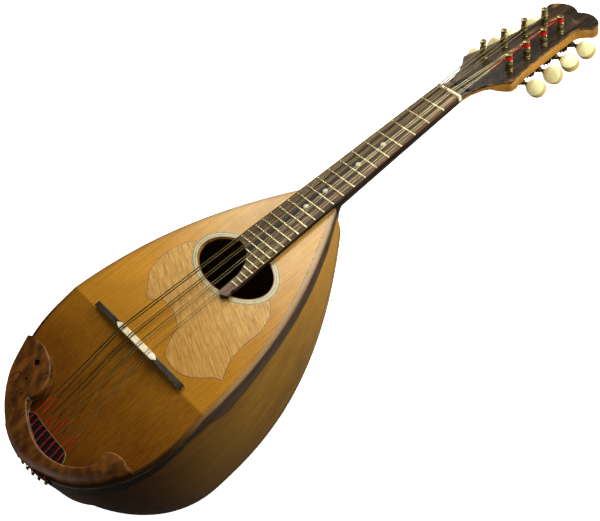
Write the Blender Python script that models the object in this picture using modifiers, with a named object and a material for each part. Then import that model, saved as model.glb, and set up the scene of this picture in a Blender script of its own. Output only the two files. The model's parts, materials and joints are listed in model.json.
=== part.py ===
"""Neapolitan bowl-back mandolin, built as separate pieces in metres.

Design frame: +Y runs along the strings from the tail to the head, +X is the treble side and +Z is the
soundboard's outward normal. z = 0 is the plane of the fret tops and y = 0 the line of the bridge.
At the end everything moves so that the origin is the middle of the bounding box's bottom face.
"""

import math

import bmesh
import bpy
from mathutils import Matrix, Vector

# Strings and fingerboard
SCALE_LENGTH = 0.330
NUT_HALF_WIDTH = 0.0128
NUT_BEFORE = 0.0012
NUT_AFTER = 0.0018
NUT_TOP_Z = 0.0009
BOARD_HALF_WIDTH_AT_BRIDGE = 0.0230
FRET_COUNT = 24
FULL_FRETS = 18
FRET_HEIGHT = 0.0010
FRET_WIDTH = 0.0012
BOARD_THICKNESS = 0.0037
BOARD_END_Y = 0.1125
TONGUE_TIP_Y = 0.0690
TONGUE_BEND_Y = 0.0750
TONGUE_LEFT_X = 0.0122
TONGUE_POWER = 2.4
NUT_STRING_SPREAD = 0.0099
BRIDGE_STRING_SPREAD = 0.0177
COURSE_GAP = 0.0026
STRING_RADII = (0.00045, 0.00035, 0.00025, 0.00020)
GAP = 0.0003

# Body
SOUNDBOARD_Z = -0.0050
SOUNDBOARD_THICKNESS = 0.0026
BODY_HALF_WIDTH = 0.0925
TAIL_CENTRE_Y = -0.0270
SHOULDER_LENGTH = 0.2350
SHOULDER_POWER = 2.15
NECK_JOINT_Y = 0.1850
NECK_DEPTH_AT_NUT = 0.0092
NECK_DEPTH_GROWTH = 0.046
NECK_SECTION_POWER = 1.2
HEEL_LENGTH = 0.0090
HEAD_ROOT_LENGTH = 0.0400
HEAD_ROOT_DEPTH = 0.0071
FOLD_Y = -0.0050
CANT = math.radians(10.5)
BOWL_DEPTH = 0.1570
BOWL_DEEPEST_Y = -0.0160
BOWL_NECK_LENGTH = 0.2312
BOWL_NECK_POWER = 2.38
BOWL_TAIL_POWER = 1.93
SECTION_POWER = 2.2
SHELL_THICKNESS = 0.0025
BAND_THICKNESS = 0.0012
BAND_DEPTH = 0.0135
INLAY_DEPTH = 0.0012

# Soundhole
HOLE_Y = 0.0943
HOLE_HALF_X = 0.0410
HOLE_HALF_Y = 0.0228
ROSETTE_HALF_X = 0.0477
ROSETTE_HALF_Y = 0.0275

# Tail
CLASP_HALF_WIDTH = 0.0280
CLASP_THICKNESS = 0.0010
CLASP_TOP_Z = -0.0280
CLASP_HEIGHT = 0.0060
PIN_Z = -0.0305
PIN_SPACING = 0.0073
PAD_THICKNESS = 0.0006
REST_THICKNESS = 0.0075
REST_CHANNEL_HALF_WIDTH = 0.0305
REST_CHANNEL_HEIGHT = 0.0036
REST_OUTER_INSET = 0.0060
REST_INNER_INSET = 0.0022

# Bridge
BRIDGE_Y = -0.0020
BRIDGE_HALF_LENGTH = 0.0605
BRIDGE_WIDTH = 0.0056
SADDLE_HALF_LENGTH = 0.0270
SADDLE_HALF_WIDTH = 0.0013
SADDLE_TOP_Z = 0.0026

# Head
HEAD_TILT = math.radians(8.7)
HEAD_Z = -0.0025
HEAD_THICKNESS = 0.0100
VENEER_THICKNESS = 0.0015
HEAD_LENGTH = 0.1620
POST_U = (0.0555, 0.0784, 0.1013, 0.1242)
POST_FIRST_X = 0.0151
POST_LAST_X = 0.0092
POST_HEIGHT = 0.0165
POST_HOLE_RADIUS = 0.0032

# Worm and gear of each tuner
TEETH = 14
WORM_PITCH_RADIUS = 0.0029
GEAR_PITCH_RADIUS = 0.0063
WORM_PITCH = 2 * math.pi * GEAR_PITCH_RADIUS / TEETH
GEAR_CENTRES = WORM_PITCH_RADIUS + GEAR_PITCH_RADIUS
WORM_W = -0.0151
GEAR_WIDTH = 0.0045
GEAR_TIP_RADIUS = 0.0070
GEAR_ROOT_RADIUS = 0.0047
TIP_HALF = 0.00032
PLATE_THICKNESS = 0.0008
PLATE_HALF_WIDTH = 0.0068
LUG_INNER = 0.0039
LUG_OUTER = 0.0055
LUG_HALF_WIDTH = 0.0026
BEARING_RADIUS = 0.0018
WORM_PHASE = math.pi / 2  # puts a gear tooth between two crests of its worm
BUTTON_CENTRE = 0.0211
BUTTON_TURNS = (132, 120, 138, 124)

SIDES = (("bass", -1), ("treble", 1))

parts = bpy.data.collections.new("mandolin")
cutters = bpy.data.collections.new("cutters")


# Helpers

def clear_scene():
    for obj in list(bpy.data.objects):
        bpy.data.objects.remove(obj)
    for collection in (parts, cutters):
        bpy.context.scene.collection.children.link(collection)


def material(name, colour, roughness, metallic=0.0):
    made = bpy.data.materials.new(name)
    made.use_nodes = True
    shader = made.node_tree.nodes["Principled BSDF"]
    shader.inputs["Base Color"].default_value = (*colour, 1)
    shader.inputs["Roughness"].default_value = roughness
    shader.inputs["Metallic"].default_value = metallic
    return made


def new_object(name, data, parent=None, look=None, collection=None):
    obj = bpy.data.objects.new(name, data)
    (collection or parts).objects.link(obj)
    obj.parent = parent
    if look:
        data.materials.clear()
        data.materials.append(look)
    return obj


def mesh_from(bm, name):
    bmesh.ops.recalc_face_normals(bm, faces=bm.faces)
    mesh = bpy.data.meshes.new(name)
    bm.to_mesh(mesh)
    bm.free()
    return mesh


def bake(obj):
    """Replaces an object's modifiers, or a curve, with the mesh that they make."""
    bpy.context.view_layer.update()
    graph = bpy.context.evaluated_depsgraph_get()
    mesh = bpy.data.meshes.new_from_object(obj.evaluated_get(graph))
    bm = bmesh.new()
    bm.from_mesh(mesh)
    bmesh.ops.remove_doubles(bm, verts=bm.verts, dist=1e-6)
    bm.to_mesh(mesh)
    bm.free()
    name = obj.name
    collection = obj.users_collection[0]
    made = bpy.data.objects.new(name, mesh)
    made.parent = obj.parent
    made.matrix_basis = obj.matrix_basis.copy()
    bpy.data.objects.remove(obj)
    made.name = name
    collection.objects.link(made)
    return made


def boolean(obj, other, operation="DIFFERENCE"):
    """Cuts or joins with another object, bakes the result and removes the other one."""
    modifier = obj.modifiers.new("boolean", "BOOLEAN")
    modifier.object = other
    modifier.operation = operation
    made = bake(obj)
    bpy.data.objects.remove(other)
    return made


def plate(name, outline, low, high, parent=None, collection=None):
    """A flat outline in XY as a solid from z = low to z = high."""
    curve = bpy.data.curves.new(name, "CURVE")
    curve.dimensions = "2D"
    curve.fill_mode = "BOTH"
    curve.extrude = (high - low) / 2
    spline = curve.splines.new("POLY")
    spline.points.add(len(outline) - 1)
    for point, (x, y) in zip(spline.points, outline):
        point.co = (x, y, 0, 1)
    spline.use_cyclic_u = True
    obj = new_object(name, curve, parent, collection=collection)
    obj.location.z = (low + high) / 2
    made = bake(obj)
    made.data.transform(made.matrix_basis)
    made.matrix_basis = Matrix()
    return made


def box(name, low, high, parent=None, collection=None):
    bm = bmesh.new()
    bmesh.ops.create_cube(bm, size=1)
    size = [b - a for a, b in zip(low, high)]
    middle = [(a + b) / 2 for a, b in zip(low, high)]
    bmesh.ops.scale(bm, vec=size, verts=bm.verts)
    bmesh.ops.translate(bm, vec=middle, verts=bm.verts)
    return new_object(name, mesh_from(bm, name), parent, collection=collection)


def rod(name, radius, low, high, segments=16, parent=None, collection=None):
    """A cylinder along Z from low to high."""
    bm = bmesh.new()
    bmesh.ops.create_cone(
        bm, cap_ends=True, segments=segments, radius1=radius, radius2=radius, depth=high - low
    )
    bmesh.ops.translate(bm, vec=(0, 0, (low + high) / 2), verts=bm.verts)
    return new_object(name, mesh_from(bm, name), parent, collection=collection)


def turned(name, profile, steps, parent=None):
    """A profile of (radius, z) points, top to bottom, turned about Z."""
    mesh = bpy.data.meshes.new(name)
    points = [(radius, 0, z) for radius, z in profile]
    mesh.from_pydata(points, [(i, i + 1) for i in range(len(points) - 1)], [])
    obj = new_object(name, mesh, parent)
    screw = obj.modifiers.new("turn", "SCREW")
    screw.steps = steps
    screw.render_steps = steps
    screw.use_merge_vertices = True
    screw.merge_threshold = 1e-6
    made = bake(obj)
    bm = bmesh.new()
    bm.from_mesh(made.data)
    bmesh.ops.recalc_face_normals(bm, faces=bm.faces)
    bm.to_mesh(made.data)
    bm.free()
    return made


def bevel(obj, width, segments=2, angle=40):
    modifier = obj.modifiers.new("bevel", "BEVEL")
    modifier.width = width
    modifier.segments = segments
    modifier.limit_method = "ANGLE"
    modifier.angle_limit = math.radians(angle)


def smooth_run(points, per_span=4):
    """Points along a Catmull-Rom curve through the given ones."""
    out = []
    for i in range(len(points) - 1):
        before = Vector(points[max(i - 1, 0)])
        start = Vector(points[i])
        end = Vector(points[i + 1])
        after = Vector(points[min(i + 2, len(points) - 1)])
        for k in range(per_span):
            t = k / per_span
            bend = 2 * before - 5 * start + 4 * end - after
            twist = 3 * (start - end) + after - before
            out.append(tuple(start + 0.5 * (t * (end - before) + t * t * bend + t ** 3 * twist)))
    out.append(tuple(points[-1]))
    return out


def mirrored(half):
    """A half outline at +X, from one end of the axis to the other, with its mirror image added."""
    inner = [(-x, y) for x, y in reversed(half) if abs(x) > 1e-6]
    return list(half) + inner


def oval(half_x, half_y, count=32):
    turns = [2 * math.pi * k / count for k in range(count)]
    return [(half_x * math.cos(t), HOLE_Y + half_y * math.sin(t)) for t in turns]


# Body geometry

def half_width(y, inset=0.0):
    """Half the body's width at y: a circle at the tail and a long shoulder towards the neck."""
    along = y - TAIL_CENTRE_Y
    if along > 0:
        return BODY_HALF_WIDTH * (1 - (along / SHOULDER_LENGTH) ** SHOULDER_POWER) - inset
    radius = BODY_HALF_WIDTH - inset
    return math.sqrt(max(radius ** 2 - along ** 2, 0))


def board_z(y):
    """Height of the soundboard's top face, which folds down towards the tail."""
    return SOUNDBOARD_Z + min(y - FOLD_Y, 0) * math.tan(CANT)


def bowl_bottom(y):
    if y > BOWL_DEEPEST_Y:
        depth = 1 - ((y - BOWL_DEEPEST_Y) / BOWL_NECK_LENGTH) ** BOWL_NECK_POWER
    else:
        share = (BOWL_DEEPEST_Y - y) / (BOWL_DEEPEST_Y - TAIL_CENTRE_Y + BODY_HALF_WIDTH)
        depth = max(1 - share ** BOWL_TAIL_POWER, 0) ** (1 / BOWL_TAIL_POWER)
    return SOUNDBOARD_Z - BOWL_DEPTH * depth


def bowl_stations(inset, tail_steps=8, neck_steps=10):
    """Values of y along the body, closer together where the tail turns."""
    radius = BODY_HALF_WIDTH - inset
    stations = []
    for k in range(tail_steps):
        stations.append(TAIL_CENTRE_Y - radius * math.cos(0.06 + (math.pi / 2 - 0.06) * k / tail_steps))
    for k in range(neck_steps + 1):
        stations.append(TAIL_CENTRE_Y + (NECK_JOINT_Y - GAP - TAIL_CENTRE_Y) * k / neck_steps)
    return stations


def section_point(y, turn, inset):
    """A point of the bowl's cross-section: turn 0 is the treble rim, pi / 2 the bottom, pi the bass rim."""
    top = board_z(y) - SOUNDBOARD_THICKNESS - GAP
    depth = max(top - bowl_bottom(y), 0.0005)
    across = math.cos(turn)
    wide = half_width(y, inset * (1 - 0.8 * math.sin(turn)))
    x = math.copysign(abs(across) ** (2 / SECTION_POWER), across) * wide
    z = top - depth * math.sin(turn) ** (2 / SECTION_POWER)
    return Vector((x, y, z))


def surface_grid(bm, rows):
    """Quads between equally long rows of points."""
    made = [[bm.verts.new(point) for point in row] for row in rows]
    for first, second in zip(made, made[1:]):
        for a, b, c, d in zip(first, first[1:], second[1:], second):
            bm.faces.new((a, b, c, d))


def body_outline(inset=0.0, steps=22):
    """The soundboard's outline, from the neck down one side, round the tail and back up."""
    shoulder = [NECK_JOINT_Y - GAP + (TAIL_CENTRE_Y - NECK_JOINT_Y) * k / steps for k in range(steps)]
    half = [(half_width(y, inset), y) for y in shoulder]
    radius = BODY_HALF_WIDTH - inset
    for k in range(steps + 1):
        turn = math.pi / 2 * k / steps
        half.append((radius * math.cos(turn), TAIL_CENTRE_Y - radius * math.sin(turn)))
    return mirrored(half)


def fold(obj):
    """Bends a flat plate down at the soundboard's fold line."""
    bm = bmesh.new()
    bm.from_mesh(obj.data)
    everything = list(bm.verts) + list(bm.edges) + list(bm.faces)
    bmesh.ops.bisect_plane(bm, geom=everything, plane_co=(0, FOLD_Y, 0), plane_no=(0, 1, 0))
    for vert in bm.verts:
        vert.co.z += min(vert.co.y - FOLD_Y, 0) * math.tan(CANT)
    bmesh.ops.triangulate(bm, faces=[face for face in bm.faces if len(face.verts) > 4])
    bm.to_mesh(obj.data)
    bm.free()


def scratchplate_outline(grow=0.0):
    """The butterfly-shaped inlay under the soundhole, larger on the treble side."""
    treble = smooth_run(
        [(0.0505, 0.0900), (0.0625, 0.0790), (0.0660, 0.0620), (0.0660, 0.0440), (0.0775, 0.0225)], 3
    )
    lower = smooth_run(
        [
            (0.0775, 0.0225), (0.0640, 0.0135), (0.0500, 0.0060), (0.0330, 0.0045), (0.0200, 0.0110),
            (0.0110, 0.0285),
        ], 3
    )
    middle = smooth_run([(0.0110, 0.0285), (-0.0030, 0.0350), (-0.0180, 0.0350)], 3)
    bass = smooth_run(
        [
            (-0.0180, 0.0350), (-0.0330, 0.0290), (-0.0470, 0.0380), (-0.0580, 0.0540), (-0.0590, 0.0740),
            (-0.0500, 0.0900),
        ], 3
    )
    points = treble[:-1] + lower[:-1] + middle[:-1] + bass + [(-0.0300, 0.0950), (0.0300, 0.0950)]
    if not grow:
        return points
    return grown(points, grow)


def grown(points, distance):
    """A closed outline moved outwards by a distance."""
    area = sum(a[0] * b[1] - b[0] * a[1] for a, b in zip(points, points[1:] + points[:1]))
    turn = math.copysign(1, area)
    out = []
    for before, here, after in zip(points[-1:] + points[:-1], points, points[1:] + points[:1]):
        along = Vector((after[0] - before[0], after[1] - before[1])).normalized()
        out.append((here[0] + turn * distance * along.y, here[1] - turn * distance * along.x))
    return out


# Body pieces

def make_soundboard(looks):
    top = SOUNDBOARD_Z
    board = plate("soundboard", body_outline(), top - SOUNDBOARD_THICKNESS, top)
    pocket = top - INLAY_DEPTH - GAP
    above = top + 0.005
    ring = oval(ROSETTE_HALF_X + GAP, ROSETTE_HALF_Y + GAP)
    cuts = [
        plate("cut_ring", ring, pocket, above, collection=cutters),
        plate("cut_inlay", scratchplate_outline(GAP), pocket, above, collection=cutters),
        plate("cut_hole", oval(HOLE_HALF_X, HOLE_HALF_Y), top - 0.01, above, collection=cutters),
    ]
    for cutter in cuts:
        board = boolean(board, cutter)
    fold(board)
    board.data.materials.append(looks["spruce"])


def make_rosette(looks):
    top = SOUNDBOARD_Z
    ring = plate("rosette", oval(ROSETTE_HALF_X, ROSETTE_HALF_Y), top - INLAY_DEPTH, top)
    hole = plate("cut_hole", oval(HOLE_HALF_X, HOLE_HALF_Y), top - 0.01, top + 0.01, collection=cutters)
    ring = boolean(ring, hole)
    ring.data.materials.append(looks["bone"])


def make_scratchplate(looks):
    top = SOUNDBOARD_Z
    sheet = plate("scratchplate", scratchplate_outline(), top - INLAY_DEPTH, top)
    ring = oval(ROSETTE_HALF_X + GAP, ROSETTE_HALF_Y + GAP)
    sheet = boolean(sheet, plate("cut_ring", ring, top - 0.01, top + 0.01, collection=cutters))
    sheet.data.materials.append(looks["inlay"])


def make_bowl(looks):
    inset = BAND_THICKNESS + 2 * GAP
    turns = [math.pi * k / 16 for k in range(17)]
    bm = bmesh.new()
    surface_grid(bm, [[section_point(y, turn, inset) for turn in turns] for y in bowl_stations(inset)])
    obj = new_object("bowl", mesh_from(bm, "bowl"), look=looks["ribs"])
    add_thickness(obj, SHELL_THICKNESS)


def add_thickness(obj, thickness):
    """Solidifies an open surface around the body towards the body's middle."""
    middle = Vector((0, TAIL_CENTRE_Y, SOUNDBOARD_Z))
    facing_out = sum(face.normal.dot(face.center - middle) * face.area for face in obj.data.polygons) > 0
    solidify = obj.modifiers.new("thickness", "SOLIDIFY")
    solidify.thickness = thickness
    solidify.offset = -1 if facing_out else 1
    solidify.use_even_offset = True


def make_side_band(looks):
    """The capping strip under the soundboard's edge, from the neck round the tail to the neck."""
    rows = []
    for y, side in band_places():
        top = board_z(y) - SOUNDBOARD_THICKNESS - GAP
        outer = half_width(y)
        rows.append([Vector((side * outer, y, top)), Vector((side * outer, y, top - BAND_DEPTH))])
    bm = bmesh.new()
    surface_grid(bm, rows)
    obj = new_object("side_band", mesh_from(bm, "side_band"), look=looks["walnut"])
    add_thickness(obj, BAND_THICKNESS)


def band_places(steps=14):
    """(y, side) along the rim from the treble shoulder round the tail to the bass shoulder."""
    start = NECK_JOINT_Y - GAP
    half = [(start + (TAIL_CENTRE_Y - start) * k / steps, 1) for k in range(steps)]
    for k in range(steps):
        half.append((TAIL_CENTRE_Y - BODY_HALF_WIDTH * math.sin(math.pi / 2 * k / steps), 1))
    tail = [(TAIL_CENTRE_Y - BODY_HALF_WIDTH, 1)]
    return half + tail + [(y, -side) for y, side in reversed(half)]


def make_blocks(looks):
    top = SOUNDBOARD_Z - SOUNDBOARD_THICKNESS - GAP
    neck_block = box("neck_block", (-0.0125, 0.150, -0.036), (0.0125, 0.178, top))
    bevel(neck_block, 0.002, 1)
    tail_block = box("tail_block", (-0.020, -0.108, -0.046), (0.020, -0.094, -0.0285))
    bevel(tail_block, 0.002, 1)
    brace = box("brace", (-0.066, 0.040, top - 0.010), (0.066, 0.046, top))
    bevel(brace, 0.0015, 1)
    for obj in (neck_block, tail_block, brace):
        obj.data.materials.append(looks["spruce"])


def make_string_pad(looks):
    """The dark plate that keeps the strings off the soundboard at the tail."""
    half = [
        (0.0, -0.0930), (0.0230, -0.0930), (0.0285, -0.0965), (0.0290, -0.1060), (0.0250, -0.1135),
        (0.0, -0.1160),
    ]
    pad = plate("string_pad", mirrored(half), SOUNDBOARD_Z + GAP, SOUNDBOARD_Z + GAP + PAD_THICKNESS)
    fold(pad)
    pad.data.materials.append(looks["ebony"])


def tail_point(x, radius, z):
    """A point above the tail's arc, out along the line from the arc's centre through x on the rim."""
    turn = math.asin(x / BODY_HALF_WIDTH)
    return Vector((radius * math.sin(turn), TAIL_CENTRE_Y - radius * math.cos(turn), z))


def make_tail_clasp(looks):
    """The metal strip round the tail edge, with one hitch pin for each string."""
    outer = BODY_HALF_WIDTH + GAP + CLASP_THICKNESS
    rows = []
    for k in range(-3, 4):
        x = CLASP_HALF_WIDTH * k / 3
        low = CLASP_TOP_Z - CLASP_HEIGHT
        rows.append([tail_point(x, outer, CLASP_TOP_Z), tail_point(x, outer, low)])
    bm = bmesh.new()
    surface_grid(bm, rows)
    clasp = new_object("tail_clasp", mesh_from(bm, "tail_clasp"))
    add_thickness(clasp, CLASP_THICKNESS)
    clasp = bake(clasp)
    profile = [
        (0, 0.0016), (0.0015, 0.0014), (0.0015, 0.0008), (0.0009, 0.0006), (0.0009, -0.0006), (0, -0.0006),
    ]
    for index in range(8):
        pin = turned("pin", profile, 6)
        place = Matrix.Translation(tail_point(pin_x(index), outer, PIN_Z))
        lean = Matrix.Rotation(math.asin(pin_x(index) / BODY_HALF_WIDTH), 4, "Z")
        pin.data.transform(place @ lean @ Matrix.Rotation(math.pi / 2, 4, "X"))
        clasp = boolean(clasp, pin, "UNION")
    clasp.data.materials.append(looks["dark_metal"])


def pin_x(index):
    return (index - 3.5) * PIN_SPACING


def hand_rest_outer(inset):
    """The sleeve guard's outer edge along the tail's arc, from the bass side to the treble side."""
    radius = BODY_HALF_WIDTH - inset
    turns = [math.radians(degrees) for degrees in range(-66, 66, 6)]
    return [(radius * math.sin(turn), TAIL_CENTRE_Y - radius * math.cos(turn)) for turn in turns]


def hand_rest_inner():
    """Its inner edge: a treble hook, a narrow waist over the strings and a bass lobe."""
    hook = smooth_run(
        [
            (0.0840, -0.0668), (0.0720, -0.0665), (0.0630, -0.0677), (0.0550, -0.0722), (0.0540, -0.0770),
            (0.0545, -0.0840), (0.0460, -0.0940), (0.0365, -0.0998),
        ], 3
    )
    waist = smooth_run([(0.0365, -0.0998), (0.0130, -0.1056), (-0.0080, -0.1037), (-0.0345, -0.0921)], 3)
    lobe = smooth_run(
        [
            (-0.0345, -0.0921), (-0.0370, -0.0880), (-0.0323, -0.0815), (-0.0326, -0.0745),
            (-0.0396, -0.0636), (-0.0500, -0.0578), (-0.0620, -0.0548), (-0.0740, -0.0553),
            (-0.0820, -0.0590),
        ], 3
    )
    return hook[:-1] + waist[:-1] + lobe


def make_hand_rest(looks):
    """The sleeve guard, with its top edge drawn in and a channel under its waist for the strings."""
    low = SOUNDBOARD_Z + GAP
    outline = hand_rest_outer(0) + hand_rest_inner()
    rest = plate("hand_rest", outline, low, low + REST_THICKNESS)
    drawn_in = hand_rest_outer(REST_OUTER_INSET) + grown(outline, -REST_INNER_INSET)[len(hand_rest_outer(0)):]
    for vert in rest.data.vertices:
        if vert.co.z > low + REST_THICKNESS / 2:
            index = min(range(len(outline)), key=lambda k: (Vector(outline[k]) - vert.co.xy).length)
            vert.co.xy = drawn_in[index]
    start = (-REST_CHANNEL_HALF_WIDTH, TAIL_CENTRE_Y - 1.2 * BODY_HALF_WIDTH, low - 0.01)
    end = (REST_CHANNEL_HALF_WIDTH, -0.080, low + REST_CHANNEL_HEIGHT)
    rest = boolean(rest, box("cut_channel", start, end, collection=cutters))
    for vert in rest.data.vertices:
        vert.co.z += (vert.co.y - FOLD_Y) * math.tan(CANT)
    rest.data.materials.append(looks["burl"])


# Neck and head

def board_half_width(y):
    share = (SCALE_LENGTH - y) / SCALE_LENGTH
    return NUT_HALF_WIDTH + (BOARD_HALF_WIDTH_AT_BRIDGE - NUT_HALF_WIDTH) * share


def fret_y(number):
    return SCALE_LENGTH * 2 ** (-number / 12)


def tongue_left(y):
    """Left edge of the fingerboard's treble tongue, a hollow curve over the soundhole."""
    share = min(max((y - TONGUE_BEND_Y) / (BOARD_END_Y - TONGUE_BEND_Y), 0), 1)
    corner = -board_half_width(BOARD_END_Y)
    return corner + (TONGUE_LEFT_X - corner) * (1 - share ** TONGUE_POWER) ** (1 / TONGUE_POWER)


def fingerboard_outline(steps=10):
    top_y = SCALE_LENGTH - NUT_BEFORE - 0.0004
    right = [(board_half_width(top_y), top_y), (board_half_width(TONGUE_BEND_Y), TONGUE_BEND_Y)]
    tip = [(0.0212, 0.0714), (0.0150, TONGUE_TIP_Y - 0.0006), (TONGUE_LEFT_X, TONGUE_TIP_Y)]
    hollow = []
    for k in range(steps + 1):
        share = math.sin(math.pi / 2 * k / steps) ** (2 / TONGUE_POWER)
        y = TONGUE_BEND_Y + (BOARD_END_Y - TONGUE_BEND_Y) * share
        hollow.append((tongue_left(y), y))
    return right + tip + hollow + [(-board_half_width(top_y), top_y)]


def make_fingerboard(looks):
    top = -FRET_HEIGHT
    board = plate("fingerboard", fingerboard_outline(), top - BOARD_THICKNESS, top)
    for number in range(1, FRET_COUNT + 1):
        y = fret_y(number)
        right = board_half_width(y) - 0.0004
        left = -right if number <= FULL_FRETS else tongue_left(y) + 0.0006
        low = (left, y - FRET_WIDTH / 2, top - 0.0012)
        high = (right, y + FRET_WIDTH / 2, 0)
        board = boolean(board, box("fret", low, high, collection=cutters), "UNION")
    board.data.materials.append(looks["rosewood"])


def make_nut(looks):
    half = NUT_HALF_WIDTH + 0.0001
    low = (-half, SCALE_LENGTH - NUT_BEFORE, SOUNDBOARD_Z + GAP)
    nut = box("nut", low, (half, SCALE_LENGTH + NUT_AFTER, NUT_TOP_Z))
    bevel(nut, 0.0006, 2)
    nut.data.materials.append(looks["bone"])


def head_frame():
    """An empty on the nut line: its X is across the head, Y along it and Z out of its face."""
    empty = bpy.data.objects.new("head_frame", None)
    parts.objects.link(empty)
    empty.location = (0, SCALE_LENGTH, HEAD_Z)
    empty.rotation_euler.x = -HEAD_TILT
    return empty


def head_outline(start):
    """Half the head's outline from the nut end to the cleft of its heart-shaped tip."""
    swell = smooth_run(
        [(0.0126, start), (0.0124, 0.0120), (0.0150, 0.0240), (0.0210, 0.0350), (0.0270, 0.0425)], 2
    )
    corner = smooth_run([(0.0270, 0.0425), (0.0284, 0.0445), (0.0281, 0.0480)], 2)
    taper = smooth_run([(0.0281, 0.0480), (0.0240, 0.0660), (0.0205, 0.0950), (0.0173, 0.1270)], 1)
    flare = smooth_run([(0.0173, 0.1270), (0.0180, 0.1370), (0.0235, 0.1440)], 3)
    lobe = smooth_run(
        [
            (0.0235, 0.1440), (0.0272, 0.1475), (0.0270, 0.1530), (0.0220, 0.1585), (0.0130, HEAD_LENGTH),
            (0.0050, 0.1606), (0.0, 0.1575),
        ], 2
    )
    return swell[:-1] + corner[:-1] + taper[:-1] + flare[:-1] + lobe


def head_core_outline():
    """The part of the head's outline beyond the neck's swelling root."""
    return [(0.0176, 0.0300)] + [point for point in head_outline(0.004) if point[1] > 0.0330]


def post_x(index):
    return POST_FIRST_X + (POST_LAST_X - POST_FIRST_X) * index / 3


def row_angle():
    """How much a row of posts leans in towards the head's middle."""
    return math.atan2(POST_FIRST_X - POST_LAST_X, POST_U[-1] - POST_U[0])


def cut_post_holes(obj, head, low, high):
    for _, side in SIDES:
        for index, u in enumerate(POST_U):
            hole = rod("cut_post", POST_HOLE_RADIUS, low, high, 8, head, cutters)
            hole.location = (side * post_x(index), u, 0)
            obj = boolean(obj, hole)
    return obj


def head_root_half_width(along):
    """Half the head's width where the neck swells into it."""
    known = (
        (0.0, 0.0126), (0.0120, 0.0125), (0.0240, 0.0152), (0.0320, 0.0194), (HEAD_ROOT_LENGTH, 0.0240),
    )
    for (start, low), (end, high) in zip(known, known[1:]):
        if along <= end:
            return low + (high - low) * (along - start) / (end - start)
    return known[-1][1]


def neck_section(y):
    """(half width, top, depth, power) of the neck's section at y, from its heel to its root in the head."""
    if y > SCALE_LENGTH:
        beyond = y - SCALE_LENGTH
        top = HEAD_Z - VENEER_THICKNESS - 2 * GAP - beyond * math.tan(HEAD_TILT)
        share = beyond / HEAD_ROOT_LENGTH
        depth = NECK_DEPTH_AT_NUT + (HEAD_ROOT_DEPTH - NECK_DEPTH_AT_NUT) * share
        power = NECK_SECTION_POWER - (NECK_SECTION_POWER - 0.5) * share ** 2
        return head_root_half_width(beyond), min(top, SOUNDBOARD_Z), depth, power
    slim = NECK_DEPTH_AT_NUT + NECK_DEPTH_GROWTH * (SCALE_LENGTH - y)
    heel = max(1 - (y - NECK_JOINT_Y) / HEEL_LENGTH, 0)
    joint_depth = SOUNDBOARD_Z - bowl_bottom(NECK_JOINT_Y)
    depth = slim + (joint_depth - slim) * heel ** 1.8
    return board_half_width(y), SOUNDBOARD_Z, depth, NECK_SECTION_POWER


def make_neck(looks, head):
    """Neck, heel and head in one piece of wood."""
    joint = NECK_JOINT_Y + GAP
    stations = [joint + HEEL_LENGTH * k / 4 for k in range(5)]
    stations += [0.240, 0.290]
    stations += [SCALE_LENGTH + HEAD_ROOT_LENGTH * k / 5 for k in range(6)]
    rows = []
    for y in stations:
        wide, top, depth, power = neck_section(y)
        row = []
        for k in range(13):
            turn = math.pi * k / 12
            across = math.cos(turn)
            x = wide * math.copysign(abs(across) ** power, across)
            row.append((x, y, top - depth * math.sin(turn) ** power))
        rows.append(row)
    neck = new_object("neck", mesh_from(closed_run(rows), "neck"))
    core_top = -VENEER_THICKNESS - GAP
    core = plate("core", mirrored(head_core_outline()), -HEAD_THICKNESS, core_top, head, cutters)
    neck = boolean(neck, core, "UNION")
    neck = cut_post_holes(neck, head, -0.020, 0.005)
    neck.data.materials.append(looks["maple"])


def closed_run(rows):
    """A solid through closed sections of equal length, with a flat cap on each end."""
    bm = bmesh.new()
    rings = [[bm.verts.new(point) for point in row] for row in rows]
    for ring, following in zip(rings, rings[1:]):
        for k in range(len(ring)):
            after = (k + 1) % len(ring)
            bm.faces.new((ring[k], ring[after], following[after], following[k]))
    bm.faces.new(rings[0])
    bm.faces.new(rings[-1])
    bmesh.ops.recalc_face_normals(bm, faces=bm.faces)
    bmesh.ops.triangulate(bm, faces=bm.faces)
    return bm


def make_head_face(looks, head):
    veneer = plate("headstock_face", mirrored(head_outline(0.0030)), -VENEER_THICKNESS, 0, head)
    veneer = cut_post_holes(veneer, head, -0.010, 0.005)
    veneer.data.materials.append(looks["rosewood"])


def make_damper(looks, head):
    strip = box("damper_strip", (-0.0112, 0.0115, GAP), (0.0112, 0.0150, GAP + 0.0014), head)
    bevel(strip, 0.0004, 1)
    strip.data.materials.append(looks["felt"])


# Bridge

def make_bridge(looks):
    base = SOUNDBOARD_Z + GAP
    half = BRIDGE_HALF_LENGTH
    lift = SADDLE_HALF_LENGTH + 0.004
    ramp = [(half, base), (half, base + 0.0020), (half - 0.004, base + 0.0032), (lift, base + 0.0052)]
    profile = mirrored(ramp)
    bridge = plate("bridge", profile, -BRIDGE_WIDTH / 2, BRIDGE_WIDTH / 2)
    bridge.data.transform(Matrix.Translation((0, BRIDGE_Y, 0)) @ Matrix.Rotation(math.pi / 2, 4, "X"))
    foot = base + 0.0028
    slot = saddle_box("cut_slot", GAP, foot - GAP, base + 0.02, cutters)
    bridge = boolean(bridge, slot)
    bridge.data.materials.append(looks["ebony"])
    saddle = saddle_box("saddle", 0, foot, SADDLE_TOP_Z)
    bevel(saddle, 0.0007, 2)
    saddle.data.materials.append(looks["bone"])


def saddle_box(name, margin, low, high, collection=None):
    half = SADDLE_HALF_LENGTH + margin
    wide = SADDLE_HALF_WIDTH + margin
    return box(
        name, (-half, BRIDGE_Y - wide, low), (half, BRIDGE_Y + wide, high), collection=collection
    )


# Strings

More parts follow.
